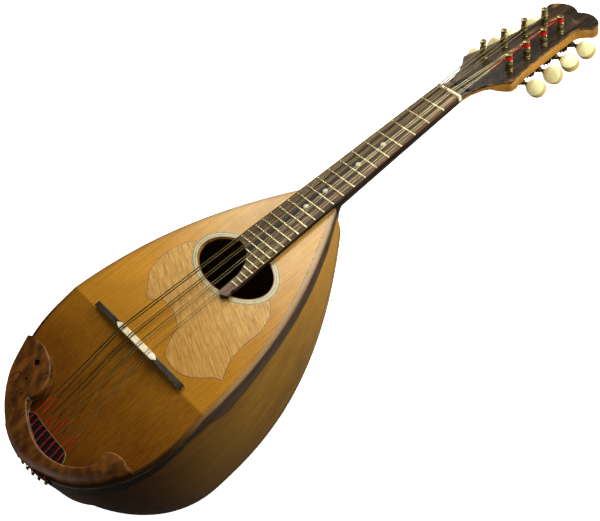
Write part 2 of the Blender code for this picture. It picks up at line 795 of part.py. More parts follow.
def string_places(index):
    """(x at the bridge, x at the nut, radius, side, post index) of string 0 to 7, bass to treble."""
    course = index // 2
    centre = (course - 1.5) / 1.5
    step = (index % 2 - 0.5) * COURSE_GAP
    side = -1 if index < 4 else 1
    post = index if index < 4 else 7 - index
    at_bridge = centre * BRIDGE_STRING_SPREAD + step
    at_nut = centre * NUT_STRING_SPREAD + step * 0.85
    return at_bridge, at_nut, STRING_RADII[course], side, post


def make_string(index, looks, head):
    at_bridge, at_nut, radius, side, post = string_places(index)
    lift = GAP + radius
    hitch = pin_x(index)
    outside = BODY_HALF_WIDTH + CLASP_THICKNESS + GAP + lift
    rim = tail_point(hitch, BODY_HALF_WIDTH - 0.0008, 0)
    inner = side * (post_x(post) - 0.0026 - lift)
    to_world = head.matrix_world
    end = to_world @ Vector((inner, POST_U[post], 0.0115))
    points = [
        tail_point(hitch, outside, PIN_Z + 0.0016 + lift),
        tail_point(hitch, outside, board_z(rim.y) - 0.0004),
        (rim.x, rim.y, board_z(rim.y) + 0.0009 + lift),
        (at_bridge, BRIDGE_Y, SADDLE_TOP_Z + lift),
        (at_nut, SCALE_LENGTH + GAP, NUT_TOP_Z + lift),
        tuple(end),
    ]
    curve = bpy.data.curves.new("string", "CURVE")
    curve.dimensions = "3D"
    curve.bevel_depth = radius
    curve.bevel_resolution = 0
    curve.use_fill_caps = True
    spline = curve.splines.new("POLY")
    spline.points.add(len(points) - 1)
    for point, co in zip(spline.points, points):
        point.co = (*co, 1)
    new_object(f"string_{index + 1}", curve, look=looks["brass"])


# Tuning machines

def gear_mesh():
    """A helical spur gear about Z, with one tooth centred on +Y and a bore for its post."""
    outline = []
    for tooth in range(TEETH):
        middle = math.pi / 2 + 2 * math.pi * tooth / TEETH
        tip_turn = TIP_HALF / GEAR_TIP_RADIUS
        corners = (
            (GEAR_TIP_RADIUS, -tip_turn), (GEAR_TIP_RADIUS, tip_turn), (GEAR_ROOT_RADIUS, math.pi / TEETH),
        )
        for radius, offset in corners:
            outline.append((radius * math.cos(middle + offset), radius * math.sin(middle + offset)))
    gear = plate("gear", outline, -GEAR_WIDTH / 2, GEAR_WIDTH / 2)
    lead = WORM_PITCH / (2 * math.pi * WORM_PITCH_RADIUS)
    for vert in gear.data.vertices:
        twist = Matrix.Rotation(vert.co.z * lead / GEAR_PITCH_RADIUS, 3, "Z")
        vert.co = twist @ vert.co
    gear = boolean(gear, rod("cut_bore", 0.0019, -0.01, 0.01, 8, collection=cutters))
    return take_mesh(gear)


def take_mesh(obj):
    mesh = obj.data
    bpy.data.objects.remove(obj)
    return mesh


def post_mesh():
    """A post about Z with z = 0 on the head's face: cap, string waist, barrel, shaft and end screw."""
    end = WORM_W - GEAR_WIDTH / 2 - GAP
    seat = WORM_W + GEAR_WIDTH / 2 + GAP
    top = POST_HEIGHT
    profile = [
        (0, top), (0.0028, top), (0.0032, top - 0.0016), (0.0023, top - 0.0022), (0.0023, top - 0.0060),
        (0.0035, top - 0.0070), (0.0038, GAP), (0.0026, GAP), (0.0026, seat), (0.0015, seat), (0.0015, end),
        (0.0025, end), (0.0022, end - 0.0010), (0, end - 0.0010),
    ]
    return take_mesh(turned("post", profile, 10))


def worm_mesh():
    """A worm shaft about Z, which runs out to the button: inner collar, worm, bearings, collar, neck."""
    profile = [
        (0, 0.0180), (0.0016, 0.0180), (0.0016, 0.0074), (0.0023, 0.0074), (0.0023, 0.0059), (0.0014, 0.0059),
        (0.0014, 0.0034), (0.00200, 0.0034), (0.00200, -0.0034), (0.0014, -0.0034), (0.0014, -0.0059),
        (0.0022, -0.0059), (0.0022, -0.0067), (0, -0.0067),
    ]
    shaft = turned("shaft", profile, 8)
    return take_mesh(boolean(shaft, worm_thread(), "UNION"))


def worm_thread(turns=1.8, steps_per_turn=10):
    """A right-hand thread about Z whose crest passes through z = 0 on +X."""
    steps = round(turns * steps_per_turn)
    step = 2 * math.pi / steps_per_turn
    start = -step * steps / 2
    bm = bmesh.new()
    corners = ((0.0017, -0.00085), (0.0036, -0.00025), (0.0036, 0.00025), (0.0017, 0.00085))
    section = [bm.verts.new((radius, 0, z)) for radius, z in corners]
    face = bm.faces.new(section)
    rise = WORM_PITCH / (2 * math.pi)
    place = Matrix.Translation((0, 0, start * rise)) @ Matrix.Rotation(start, 4, "Z")
    bmesh.ops.transform(bm, matrix=place, verts=bm.verts)
    bmesh.ops.spin(
        bm, geom=[face] + list(face.edges) + section, cent=(0, 0, 0), axis=(0, 0, 1),
        dvec=(0, 0, rise * step), angle=step * steps, steps=steps, use_duplicate=False,
    )
    return new_object("thread", mesh_from(bm, "thread"), collection=cutters)


def button_mesh():
    """An oval button along Z with two crowned faces and a socket for its shaft."""
    bm = bmesh.new()
    bmesh.ops.create_uvsphere(bm, u_segments=10, v_segments=6, radius=1)
    for vert in bm.verts:
        broad = 1 + 0.08 * vert.co.z
        x, y, z = vert.co
        vert.co = (0.0081 * x * broad, 0.0038 * y * broad, BUTTON_CENTRE + 0.0085 * z)
    button = new_object("button", mesh_from(bm, "button"))
    socket = rod("cut_socket", 0.0020, 0.0, 0.0183, 8, collection=cutters)
    return take_mesh(boolean(button, socket))


def plate_with_bearings(name, head, side):
    """A back plate with two bearing lugs for each worm, in the frame of its row of posts."""
    low_u = -0.0105
    high_u = POST_U[-1] - POST_U[0] + 0.0190
    back = -HEAD_THICKNESS - GAP - PLATE_THICKNESS
    half = PLATE_HALF_WIDTH
    obj = box(name, (-half, low_u, back), (half, high_u, back + PLATE_THICKNESS), head)
    spacing = row_spacing()
    for index in range(4):
        u = index * spacing + GEAR_CENTRES
        for left, right in ((-LUG_OUTER, -LUG_INNER), (LUG_INNER, LUG_OUTER)):
            low = (left, u - LUG_HALF_WIDTH, WORM_W - LUG_HALF_WIDTH)
            high = (right, u + LUG_HALF_WIDTH, back + PLATE_THICKNESS / 2)
            obj = boolean(obj, box("lug", low, high, head, cutters), "UNION")
        bore = rod("cut_bearing", BEARING_RADIUS, -0.0075, 0.0075, 8, head, cutters)
        bore.data.transform(Matrix.Translation((0, u, WORM_W)) @ Matrix.Rotation(math.pi / 2, 4, "Y"))
        obj = boolean(obj, bore)
        hole = rod("cut_post", POST_HOLE_RADIUS, -0.020, 0.0, 8, head, cutters)
        hole.data.transform(Matrix.Translation((0, index * spacing, 0)))
        obj = boolean(obj, hole)
    obj.location = (side * POST_FIRST_X, POST_U[0], 0)
    obj.rotation_euler.z = side * row_angle()
    return obj


def row_spacing():
    return (POST_U[-1] - POST_U[0]) / (3 * math.cos(row_angle()))


def make_tuners(looks, head):
    gear = gear_mesh()
    post = post_mesh()
    worm = worm_mesh()
    button = button_mesh()
    for mesh, look in ((gear, "brass"), (post, "dark_metal"), (worm, "dark_metal"), (button, "bone")):
        mesh.materials.append(looks[look])
    for name, side in SIDES:
        lean = side * row_angle()
        tuner_plate = plate_with_bearings(f"tuner_plate_{name}", head, side)
        tuner_plate.data.materials.append(looks["brass"])
        for index, u in enumerate(POST_U):
            number = index + 1
            axis = bpy.data.objects.new(f"post_axis_{name}_{number}", None)
            parts.objects.link(axis)
            axis.parent = head
            axis.location = (side * post_x(index), u, 0)
            axis.rotation_euler.z = lean
            new_object(f"post_{name}_{number}", post, axis)
            wheel = new_object(f"gear_{name}_{number}", gear, axis)
            wheel.location.z = WORM_W
            shaft_axis = bpy.data.objects.new(f"worm_axis_{name}_{number}", None)
            parts.objects.link(shaft_axis)
            shaft_axis.parent = axis
            shaft_axis.location = (0, GEAR_CENTRES, WORM_W)
            shaft_axis.rotation_euler = (0, side * math.pi / 2, 0)
            shaft = new_object(f"worm_shaft_{name}_{number}", worm, shaft_axis)
            shaft.rotation_euler.z = WORM_PHASE
            knob = new_object(f"button_{name}_{number}", button, shaft_axis)
            knob.rotation_euler.z = side * math.radians(BUTTON_TURNS[index])


def move_to_floor():
    """Moves everything so that the origin is the middle of the bounding box's bottom face."""
    bpy.context.view_layer.update()
    graph = bpy.context.evaluated_depsgraph_get()
    corners = []
    for obj in parts.objects:
        if obj.type != "EMPTY":
            shape = obj.evaluated_get(graph)
            corners += [shape.matrix_world @ vert.co for vert in shape.to_mesh().vertices]
            shape.to_mesh_clear()
    low = Vector([min(corner[axis] for corner in corners) for axis in range(3)])
    high = Vector([max(corner[axis] for corner in corners) for axis in range(3)])
    shift = Vector((-(low.x + high.x) / 2, -(low.y + high.y) / 2, -low.z))
    for obj in parts.objects:
        if obj.parent is None:
            obj.location += shift


def main():
    clear_scene()
    looks = {
        "spruce": material("spruce", (0.48, 0.25, 0.075), 0.40),
        "inlay": material("inlay", (0.42, 0.24, 0.09), 0.40),
        "ribs": material("ribs", (0.25, 0.15, 0.045), 0.35),
        "walnut": material("walnut", (0.025, 0.018, 0.012), 0.35),
        "maple": material("maple", (0.30, 0.15, 0.035), 0.35),
        "rosewood": material("rosewood", (0.055, 0.032, 0.022), 0.45),
        "ebony": material("ebony", (0.015, 0.013, 0.012), 0.45),
        "burl": material("burl", (0.16, 0.065, 0.025), 0.35),
        "bone": material("bone", (0.75, 0.68, 0.42), 0.35),
        "felt": material("felt", (0.010, 0.014, 0.035), 0.90),
        "brass": material("brass", (0.45, 0.34, 0.15), 0.35, 1.0),
        "dark_metal": material("dark_metal", (0.12, 0.10, 0.06), 0.45, 1.0),
    }
    head = head_frame()
    bpy.context.view_layer.update()
    make_soundboard(looks)
    make_rosette(looks)
    make_scratchplate(looks)
    make_bowl(looks)
    make_side_band(looks)
    make_blocks(looks)
    make_string_pad(looks)
    make_tail_clasp(looks)
    make_hand_rest(looks)
    make_neck(looks, head)
    make_head_face(looks, head)
    make_damper(looks, head)
    make_fingerboard(looks)
    make_nut(looks)
    make_bridge(looks)
    for index in range(8):
        make_string(index, looks, head)
    make_tuners(looks, head)
    move_to_floor()


main()
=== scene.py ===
"""The looks of a bowl-back mandolin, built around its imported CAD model.

Shapes are modelled in the mandolin's own frame: +Y runs from the tail to the head along the strings, +X to
the treble side, +Z out of the soundboard, with z = 0 on the tops of the frets and y = 0 at the bridge.
"""

import json
import math
import random

import bmesh
import bpy
from mathutils import Matrix, Vector


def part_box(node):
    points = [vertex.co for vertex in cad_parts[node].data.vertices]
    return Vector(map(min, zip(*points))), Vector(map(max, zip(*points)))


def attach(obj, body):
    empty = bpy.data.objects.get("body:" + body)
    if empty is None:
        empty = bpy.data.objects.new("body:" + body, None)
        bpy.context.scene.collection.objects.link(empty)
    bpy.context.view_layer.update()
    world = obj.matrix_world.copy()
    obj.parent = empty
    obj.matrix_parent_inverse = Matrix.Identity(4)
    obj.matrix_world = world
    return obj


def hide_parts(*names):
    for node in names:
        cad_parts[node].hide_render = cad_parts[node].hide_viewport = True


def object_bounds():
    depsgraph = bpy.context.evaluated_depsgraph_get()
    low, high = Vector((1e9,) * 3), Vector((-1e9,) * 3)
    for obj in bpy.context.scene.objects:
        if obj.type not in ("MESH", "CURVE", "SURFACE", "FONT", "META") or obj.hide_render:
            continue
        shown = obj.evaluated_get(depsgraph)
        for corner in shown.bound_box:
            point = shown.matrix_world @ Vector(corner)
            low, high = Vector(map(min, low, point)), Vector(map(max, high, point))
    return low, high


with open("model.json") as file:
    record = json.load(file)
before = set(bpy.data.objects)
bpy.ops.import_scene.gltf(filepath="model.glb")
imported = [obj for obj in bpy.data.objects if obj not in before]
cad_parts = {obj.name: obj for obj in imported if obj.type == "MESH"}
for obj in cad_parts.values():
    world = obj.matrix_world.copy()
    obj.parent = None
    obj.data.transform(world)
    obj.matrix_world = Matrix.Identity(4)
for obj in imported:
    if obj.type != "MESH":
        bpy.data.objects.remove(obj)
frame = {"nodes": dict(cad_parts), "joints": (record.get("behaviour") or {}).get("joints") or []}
cad_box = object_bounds()

# Strings and fingerboard
SCALE_LENGTH = 0.330
FRET_COUNT = 24
FULL_FRETS = 18
FRET_HEIGHT = 0.0010
FRET_HALF_WIDTH = 0.0006
DOT_FRETS = (5, 7, 10, 12)
BOARD_THICKNESS = 0.0037
BOARD_HALF_WIDTHS = (0.0128, 0.0230)
BOARD_END_Y = 0.1125
TONGUE_TIP_Y = 0.0690
TONGUE_BEND_Y = 0.0750
TONGUE_LEFT_X = 0.0122
TONGUE_POWER = 2.4
NUT_STRING_SPREAD = 0.0099
BRIDGE_STRING_SPREAD = 0.0177
COURSE_GAP = 0.0026
STRING_RADII = (0.00050, 0.00040, 0.00027, 0.00022)

# Body
TOP_Z = -0.0050
TOP_THICKNESS = 0.0026
HALF_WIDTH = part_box("soundboard")[1].x
TAIL_Y = -0.0270
SHOULDER_LENGTH = 0.2350
SHOULDER_POWER = 2.15
NECK_JOINT_Y = 0.1850
FOLD_Y = -0.0050
CANT = math.radians(10.5)
GAP = 0.0003
SLIVER = 0.000002
BOWL_DEPTH = 0.1570
BOWL_DEEPEST_Y = -0.0160
BOWL_NECK_LENGTH = 0.2312
BOWL_NECK_POWER = 2.38
BOWL_TAIL_POWER = 1.93
SECTION_POWER = 2.2
BOWL_INSET = 0.0018
SIDE_RIB_TURN = 0.52
NARROW_RIBS = 13
BAND_THICKNESS = 0.0012
INLAY_DEPTH = 0.0010
LINE_WIDTH = 0.00042
HOLE_Y = 0.0943
HOLE_HALF = (0.0410, 0.0228)
ROSETTE_HALF = (0.0477, 0.0275)
BRIDGE_Y = -0.0020
BRIDGE_HALF_LENGTH = 0.0605
SADDLE_TOP_Z = 0.0026
REST_THICKNESS = 0.0075
REST_OVERHANG = ((-1.15, 0.0004), (-0.85, 0.0026), (-0.10, 0.0024), (0.35, -0.0008))
STRING_CHANNEL = 0.0036
PIN_SPACING = 0.0073
PIN_Z = -0.0305

# Head
HEAD_TILT = math.radians(8.7)
HEAD_Z = -0.0025
HEAD_THICKNESS = 0.0100
VENEER = 0.0015
HEAD_LENGTH = 0.1620
HEAD_ROOT_LENGTH = 0.0400
POST_HOLE_RADIUS = 0.0032
WORM_W = -0.0151
GEAR_WIDTH = 0.0045
WORM_LEAD = 2 * math.pi * 0.0063 / 14

# Camera, in the mandolin's own frame
CAMERA_SPOT = (0.58073, -0.10304, 0.64691)
VIEW_DIRECTION = (-0.617693, 0.266732, -0.739804)
VIEW_RIGHT = (0.618411, 0.745893, -0.247409)
CAMERA_LENS = 68.586

SIDES = (("bass", -1), ("treble", 1))
INSTRUMENT = "instrument"

HOME = Matrix.Translation((0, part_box("nut")[0].y - SCALE_LENGTH + 0.0012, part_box("fingerboard")[1].z))
HEAD = HOME @ Matrix.Translation((0, SCALE_LENGTH, HEAD_Z)) @ Matrix.Rotation(-HEAD_TILT, 4, "X")
chance = random.Random(7)


# Mesh helpers

def curve_value(t, p, q, r, s):
    """A value on the smooth curve through p, q, r and s, where t runs from 0 at q to 1 at r."""
    squared = (2 * p - 5 * q + 4 * r - s) * t ** 2
    cubed = (3 * q - p - 3 * r + s) * t ** 3
    return 0.5 * (2 * q + (r - p) * t + squared + cubed)


def smooth_run(points, per_span=6):
    """Points on a smooth curve through the given ones."""
    padded = [points[0]] + list(points) + [points[-1]]
    out = []
    for a, b, c, d in zip(padded, padded[1:], padded[2:], padded[3:]):
        for step in range(per_span):
            out.append(tuple(curve_value(step / per_span, *four) for four in zip(a, b, c, d)))
    return out + [tuple(points[-1])]


def mm(*points):
    """Points given in millimetres."""
    return [(x / 1000, y / 1000) for x, y in points]


def mirrored(half):
    """A closed outline from its right half."""
    inner = [(-x, y) for x, y in reversed(half) if abs(x) > 1e-6]
    return list(half) + inner


def oval(half_x, half_y, count=96, centre=(0.0, HOLE_Y)):
    turns = [2 * math.pi * k / count for k in range(count)]
    return [(centre[0] + half_x * math.cos(t), centre[1] + half_y * math.sin(t)) for t in turns]


def grown(points, distance):
    """A closed outline moved outwards by a distance."""
    area = sum(a[0] * b[1] - b[0] * a[1] for a, b in zip(points, points[1:] + points[:1]))
    turn = math.copysign(1, area)
    out = []
    for before, here, after in zip(points[-1:] + points[:-1], points, points[1:] + points[:1]):
        along = Vector((after[0] - before[0], after[1] - before[1])).normalized()
        out.append((here[0] + turn * distance * along.y, here[1] - turn * distance * along.x))
    return out


def raised(bm, faces, height):
    """A flat plate of a thickness, from the faces of its underside."""
    made = bmesh.ops.extrude_face_region(bm, geom=faces)["geom"]
    verts = [item for item in made if isinstance(item, bmesh.types.BMVert)]
    bmesh.ops.translate(bm, verts=verts, vec=(0, 0, height))
    bmesh.ops.recalc_face_normals(bm, faces=bm.faces)
    return bm


def prism(outline, low, high):
    """A flat plate with one face on its top and one on its bottom."""
    bm = bmesh.new()
    face = bm.faces.new([bm.verts.new((x, y, low)) for x, y in outline])
    return raised(bm, [face], high - low)


def sheet(outline, low, high, holes=()):
    """A flat plate with holes through it, made of triangles."""
    bm = bmesh.new()
    edges = []
    for loop in (outline, *holes):
        verts = [bm.verts.new((x, y, low)) for x, y in loop]
        edges += [bm.edges.new(pair) for pair in zip(verts, verts[1:] + verts[:1])]
    filled = bmesh.ops.triangle_fill(bm, use_beauty=True, edges=edges)["geom"]
    faces = [item for item in filled if isinstance(item, bmesh.types.BMFace)]
    return raised(bm, faces, high - low)


def block(low, high):
    """A box from its lowest to its highest corner."""
    bm = bmesh.new()
    bmesh.ops.create_cube(bm, size=1)
    middle = (Vector(low) + Vector(high)) / 2
    size = Vector(high) - Vector(low)
    bmesh.ops.transform(bm, verts=bm.verts, matrix=Matrix.Translation(middle) @ Matrix.Diagonal((*size, 1)))
    return bm


def lathe(profile, steps=32):
    """A turned piece about Z from (radius, height) points that start and end on the axis."""
    bm = bmesh.new()
    verts = [bm.verts.new((radius, 0, height)) for radius, height in profile]
    edges = [bm.edges.new(pair) for pair in zip(verts, verts[1:])]
    bmesh.ops.spin(
        bm, geom=verts + edges, cent=(0, 0, 0), axis=(0, 0, 1), angle=2 * math.pi, steps=steps, use_merge=True
    )
    bmesh.ops.remove_doubles(bm, verts=bm.verts, dist=1e-6)
    bmesh.ops.recalc_face_normals(bm, faces=bm.faces)
    return bm


def closed_run(rows):
    """A solid through closed sections of equal length."""
    bm = bmesh.new()
    rings = [[bm.verts.new(point) for point in row] for row in rows]
    for ring, following in zip(rings, rings[1:]):
        for k in range(len(ring)):
            after = (k + 1) % len(ring)
            bm.faces.new((ring[k], ring[after], following[after], following[k]))
    bm.faces.new(rings[0])
    bm.faces.new(rings[-1])
    bmesh.ops.recalc_face_normals(bm, faces=bm.faces)
    if bm.calc_volume(signed=True) < 0:
        bmesh.ops.reverse_faces(bm, faces=bm.faces)
    return bm


def thick_surface(rows, thickness):
    """A skin through rows of points, thickened towards the inside of the body."""
    bm = bmesh.new()
    made = [[bm.verts.new(point) for point in row] for row in rows]
    for first, second in zip(made, made[1:]):
        for a, b, c, d in zip(first, first[1:], second[1:], second):
            bm.faces.new((a, b, c, d))
    bmesh.ops.remove_doubles(bm, verts=bm.verts, dist=1e-6)
    middle = Vector((0, TAIL_Y, TOP_Z))
    bm.normal_update()
    if sum(f.normal.dot(f.calc_center_median() - middle) * f.calc_area() for f in bm.faces) < 0:
        bmesh.ops.reverse_faces(bm, faces=bm.faces)
    bmesh.ops.solidify(bm, geom=list(bm.faces), thickness=thickness)
    return bm


def fold(bm):
    """Bends a flat plate down at the soundboard's fold line."""
    for shift in (-0.0015, 0.0, 0.0015):
        bmesh.ops.bisect_plane(
            bm, geom=list(bm.verts) + list(bm.edges) + list(bm.faces), plane_co=(0, FOLD_Y + shift, 0),
            plane_no=(0, 1, 0),
        )
    for vert in bm.verts:
        vert.co.z += board_z(vert.co.y) - TOP_Z
    return bm


def carved(bm, cutter):
    """bm with the cutter's shape taken out of it."""
    pair = [linked("carving", meshed("carving", shape), Matrix()) for shape in (bm, cutter)]
    cut = pair[0].modifiers.new("cut", "BOOLEAN")
    cut.solver = "EXACT"
    cut.use_self = True
    cut.object = pair[1]
    shape = pair[0].evaluated_get(bpy.context.evaluated_depsgraph_get())
    out = bmesh.new()
    out.from_mesh(shape.to_mesh())
    shape.to_mesh_clear()
    for obj in pair:
        bpy.data.objects.remove(obj)
    bmesh.ops.dissolve_degenerate(out, dist=SLIVER, edges=out.edges)
    return out


def meshed(name, bm):
    mesh = bpy.data.meshes.new(name)
    bm.to_mesh(mesh)
    bm.free()
    return mesh


def linked(name, data, place):
    """A new object at a place in the scene."""
    obj = bpy.data.objects.new(name, data)
    bpy.context.scene.collection.objects.link(obj)
    obj.matrix_world = place
    return obj


def finished(name, data, look, body, place, replaces):
    """A new piece with a material, which rides on a body."""
    data.materials.append(LOOKS[look])
    obj = linked(name, data, place)
    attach(obj, body)
    if replaces:
        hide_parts(*replaces)
    return obj


def piece(name, bm, look, body=INSTRUMENT, place=HOME, bevel=0.0, replaces=(), angle=35):
    """Turns a bmesh into a piece, with edges sharper than the angle kept crisp or given a small bevel."""
    mesh = meshed(name, bm)
    mesh.shade_smooth()
    mesh.set_sharp_from_angle(angle=math.radians(angle))
    obj = finished(name, mesh, look, body, place, replaces)
    if bevel:
        edge = obj.modifiers.new("edge", "BEVEL")
        edge.width = bevel
        edge.segments = 3
        edge.limit_method = "ANGLE"
        edge.angle_limit = math.radians(angle)


def wire(name, points, radius, look, body=INSTRUMENT, place=HOME, replaces=()):
    """A round wire through points."""
    curve = bpy.data.curves.new(name, "CURVE")
    curve.dimensions = "3D"
    curve.bevel_depth = radius
    curve.bevel_resolution = 3
    curve.use_fill_caps = True
    spline = curve.splines.new("POLY")
    spline.points.add(len(points) - 1)
    for index, co in enumerate(points):
        spline.points[index].co = (*co, 1)
    spline.use_smooth = True
    finished(name, curve, look, body, place, replaces)


# Material helpers

SHADER_INPUTS = {
    "metal": "Metallic", "coat": "Coat Weight", "coat_rough": "Coat Roughness", "sheen": "Sheen Weight",
    "shine": "Specular IOR Level", "inner_light": "Subsurface Weight", "glow": "Emission Strength",
}


def colour(text):
    """A linear colour from a hex one as it looks on screen."""
    parts = [int(text[k:k + 2], 16) / 255 for k in (0, 2, 4)]
    return (*[p / 12.92 if p <= 0.04045 else ((p + 0.055) / 1.055) ** 2.4 for p in parts], 1)


class Value:
    """What a material's node gives, with Python's own arithmetic."""

    def __init__(self, look, socket):
        self.look = look
        self.socket = socket

    def __add__(self, other):
        return self.look.maths("ADD", self, other)

    def __sub__(self, other):
        return self.look.maths("SUBTRACT", self, other)

    def __rsub__(self, other):
        return self.look.maths("SUBTRACT", other, self)

    def __mul__(self, other):
        return self.look.maths("MULTIPLY", self, other)

    def __truediv__(self, other):
        return self.look.maths("DIVIDE", self, other)

    def __pow__(self, other):
        return self.look.maths("POWER", self, other)

    def __abs__(self):
        return self.look.maths("ABSOLUTE", self)

    def span(self, low, high, out_low, out_high):
        """The range from low to high, brought smoothly to another range."""
        numbers = (self, low, high, out_low, out_high)
        return self.look.made("ShaderNodeMapRange", numbers, interpolation_type="SMOOTHSTEP")

    def rise(self, start, end, top=1.0):
        """From 0 to top as this goes from start to end."""
        return self.span(start, end, 0.0, top)

    def spread(self, low, high):
        """A noise's usual spread, brought to another range."""
        return self.span(0.3, 0.7, low, high)


class Look:
    """A procedural material under construction: a base colour, and tones laid over it one by one."""

    def __init__(self, name):
        self.material = bpy.data.materials.new(name)
        self.material.use_nodes = True
        self.tree = self.material.node_tree
        self.shader = next(node for node in self.tree.nodes if node.type == "BSDF_PRINCIPLED")
        self.place = self.made("ShaderNodeTexCoord", output="Object")

    def feed(self, sockets, values):
        for key, value in values.items():
            if isinstance(value, Value):
                self.tree.links.new(value.socket, sockets[key])
            else:
                sockets[key].default_value = colour(value) if isinstance(value, str) else value

    def made(self, kind, inputs=(), output=0, **settings):
        """A new node's output, with the node's inputs given in order or by name."""
        node = self.tree.nodes.new(kind)
        for key, value in settings.items():
            setattr(node, key, value)
        self.feed(node.inputs, inputs if isinstance(inputs, dict) else dict(enumerate(inputs)))
        return Value(self, node.outputs[output])

    def maths(self, operation, *numbers):
        return self.made("ShaderNodeMath", numbers, operation=operation)

    def axes(self, place=None):
        split = self.made("ShaderNodeSeparateXYZ", (place or self.place,)).socket.node
        return [Value(self, socket) for socket in split.outputs]

    def moved(self, scale=(1, 1, 1), turn=0.0):
        inputs = {"Vector": self.place, "Rotation": (0, 0, turn), "Scale": scale}
        return self.made("ShaderNodeMapping", inputs)

    def noise(self, scale, along=1.0, across=1.0, detail=4.0, rough=0.55, twist=0.0, turn=0.0, up=1.0):
        """Cloudy noise, drawn out along Y where along is small and along X where across is."""
        inputs = {
            "Vector": self.moved((across, along, up), turn), "Scale": scale, "Detail": detail,
            "Roughness": rough, "Distortion": twist,
        }
        return self.made("ShaderNodeTexNoise", inputs)

    def wave(self, scale, direction, twist, detail, along=1.0, turn=0.0, small=1.0):
        inputs = {
            "Vector": self.moved((1, along, 1), turn), "Scale": scale, "Distortion": twist, "Detail": detail,
            "Detail Scale": small,
        }
        return self.made("ShaderNodeTexWave", inputs, "Fac", bands_direction=direction)

    def ramp(self, value, *stops):
        tones = self.made("ShaderNodeValToRGB", (value,))
        points = tones.socket.node.color_ramp.elements
        while len(points) < len(stops):
            points.new(0.5)
        for point, (place, tone) in zip(points, stops):
            point.position = place
            point.color = colour(tone)
        return tones

    def mix(self, share, first, second):
        inputs = {0: share, 6: first, 7: second}
        return self.made("ShaderNodeMix", inputs, 2, data_type="RGBA", clamp_factor=True)

    def start(self, value, *stops):
        """The base colour, from a value and its tones."""
        self.base = self.ramp(value, *stops)

    def paint(self, share, tone):
        self.base = self.mix(share, self.base, tone)

    def edges(self, radius):
        """Near 1 where the surface turns a corner within the radius."""
        near = self.made("ShaderNodeBevel", {"Radius": radius}, samples=4)
        true = self.made("ShaderNodeNewGeometry", output="Normal")
        facing = self.made("ShaderNodeVectorMath", (near, true), "Value", operation="DOT_PRODUCT")
        return facing.rise(0.995, 0.90)

    def worn(self, radius, scale, low, high, detail=4):
        """Worn edges, broken up by noise."""
        return self.edges(radius) * self.noise(scale, detail=detail).rise(low, high)

    def done(self, rough, height, depth, coat_rough=0.15, **more):
        """The finished material, with its roughness and a bump of a height value and a depth in metres."""
        bump = self.made("ShaderNodeBump", {"Distance": depth, "Height": height})
        more["coat_rough"] = coat_rough
        self.feed(self.shader.inputs, {"Base Color": self.base, "Roughness": rough, "Normal": bump})
        self.feed(self.shader.inputs, {SHADER_INPUTS[name]: value for name, value in more.items()})
        return self.material


# Materials

def rim_distance(look, x, y):
    """Distance in from the soundboard's outline."""
    along = y - TAIL_Y
    forward = look.maths("MAXIMUM", along, 0.0)
    back = look.maths("MINIMUM", along, 0.0)
    reach = (1.0 - (forward / SHOULDER_LENGTH) ** SHOULDER_POWER) * HALF_WIDTH
    return reach - look.maths("SQRT", x * x + back * back)


def spruce_top():
    """Spruce, paler near the neck with painted sheen and darker towards the tail with painted shade and
    darkened old varnish, with grime and worn edges.
    """
    look = Look("spruce_top")
    x, y, _ = look.axes()
    rings = look.wave(200, "X", 0.35, 1.0, along=0.02, small=0.5)
    broad = look.noise(14, 0.25, detail=3)
    blotch = look.noise(55, detail=5, rough=0.65)
    grain = rings * 0.50 + look.noise(600, 0.012) * 0.50
    pale = look.ramp(grain, (0.20, "94621f"), (0.42, "cb983c"), (0.72, "e8bb62"))
    golden = look.ramp(grain, (0.20, "734403"), (0.42, "bb8014"), (0.72, "d99c2a"))
    aged_and_shaded = look.ramp(grain, (0.18, "2b1000"), (0.42, "653800"), (0.72, "875006"))
    wander = y + (broad - 0.5) * 0.06
    # Painted light and shade: the pale tone near the neck is partly painted sheen. The darker tone from
    # mid-board down, the step at the fold onto the canted tail and the darkening at the tail end are painted
    # shade, along with darkened old varnish.
    look.base = look.mix(wander.rise(0.150, 0.055), pale, golden)
    cant_shade = y.rise(FOLD_Y + 0.0010, FOLD_Y - 0.0010, 0.34)
    look.paint(wander.rise(0.060, FOLD_Y, 0.36) + cant_shade + wander.rise(FOLD_Y, -0.055, 0.28), aged_and_shaded)
    look.paint(y.rise(-0.055, -0.118, 0.45), "3c1a00")
    look.paint(blotch.rise(0.42, 0.75) * 0.22, "7c4c14")
    rim = rim_distance(look, x, y)
    ragged = rim + (blotch - 0.5) * 0.004
    look.paint(ragged.rise(0.0065, 0.0005, 0.45), "5a3b1c")
    look.paint(rim.rise(0.0019, 0.0009, 0.60), "5c4822")
    look.paint(rim.rise(0.0040, 0.0018) * y.rise(0.0, -0.045, 0.85), "150b04")
    treble = x.rise(0.005, 0.020)
    from_strip = ragged - y.span(-0.010, 0.175, 0.0018, 0.0052)
    bare = from_strip.rise(0.0010, -0.0010) * treble * y.rise(-0.030, 0.030)
    look.paint(bare * 0.60, "a98a62")
    dotted = abs(from_strip).rise(0.0007, 0.0001) * look.noise(420, detail=2).rise(0.46, 0.60)
    look.paint(dotted * (treble * y.rise(0.085, 0.120)), "4b3a2a")
    look.paint(look.noise(130, 0.35, detail=6, rough=0.7, turn=0.5).rise(0.66, 0.74, 0.5), "7a4c1e")
    rough = look.noise(70, detail=5).spread(0.34, 0.50) + y.rise(0.060, FOLD_Y, 0.16)
    varnish = y.span(0.020, 0.130, 0.01, 0.22)
    gloss = y.span(FOLD_Y, 0.100, 0.06, 0.16)
    return look.done(rough, grain + blotch * 0.5, 0.00004, coat=varnish, coat_rough=0.20, shine=gloss)


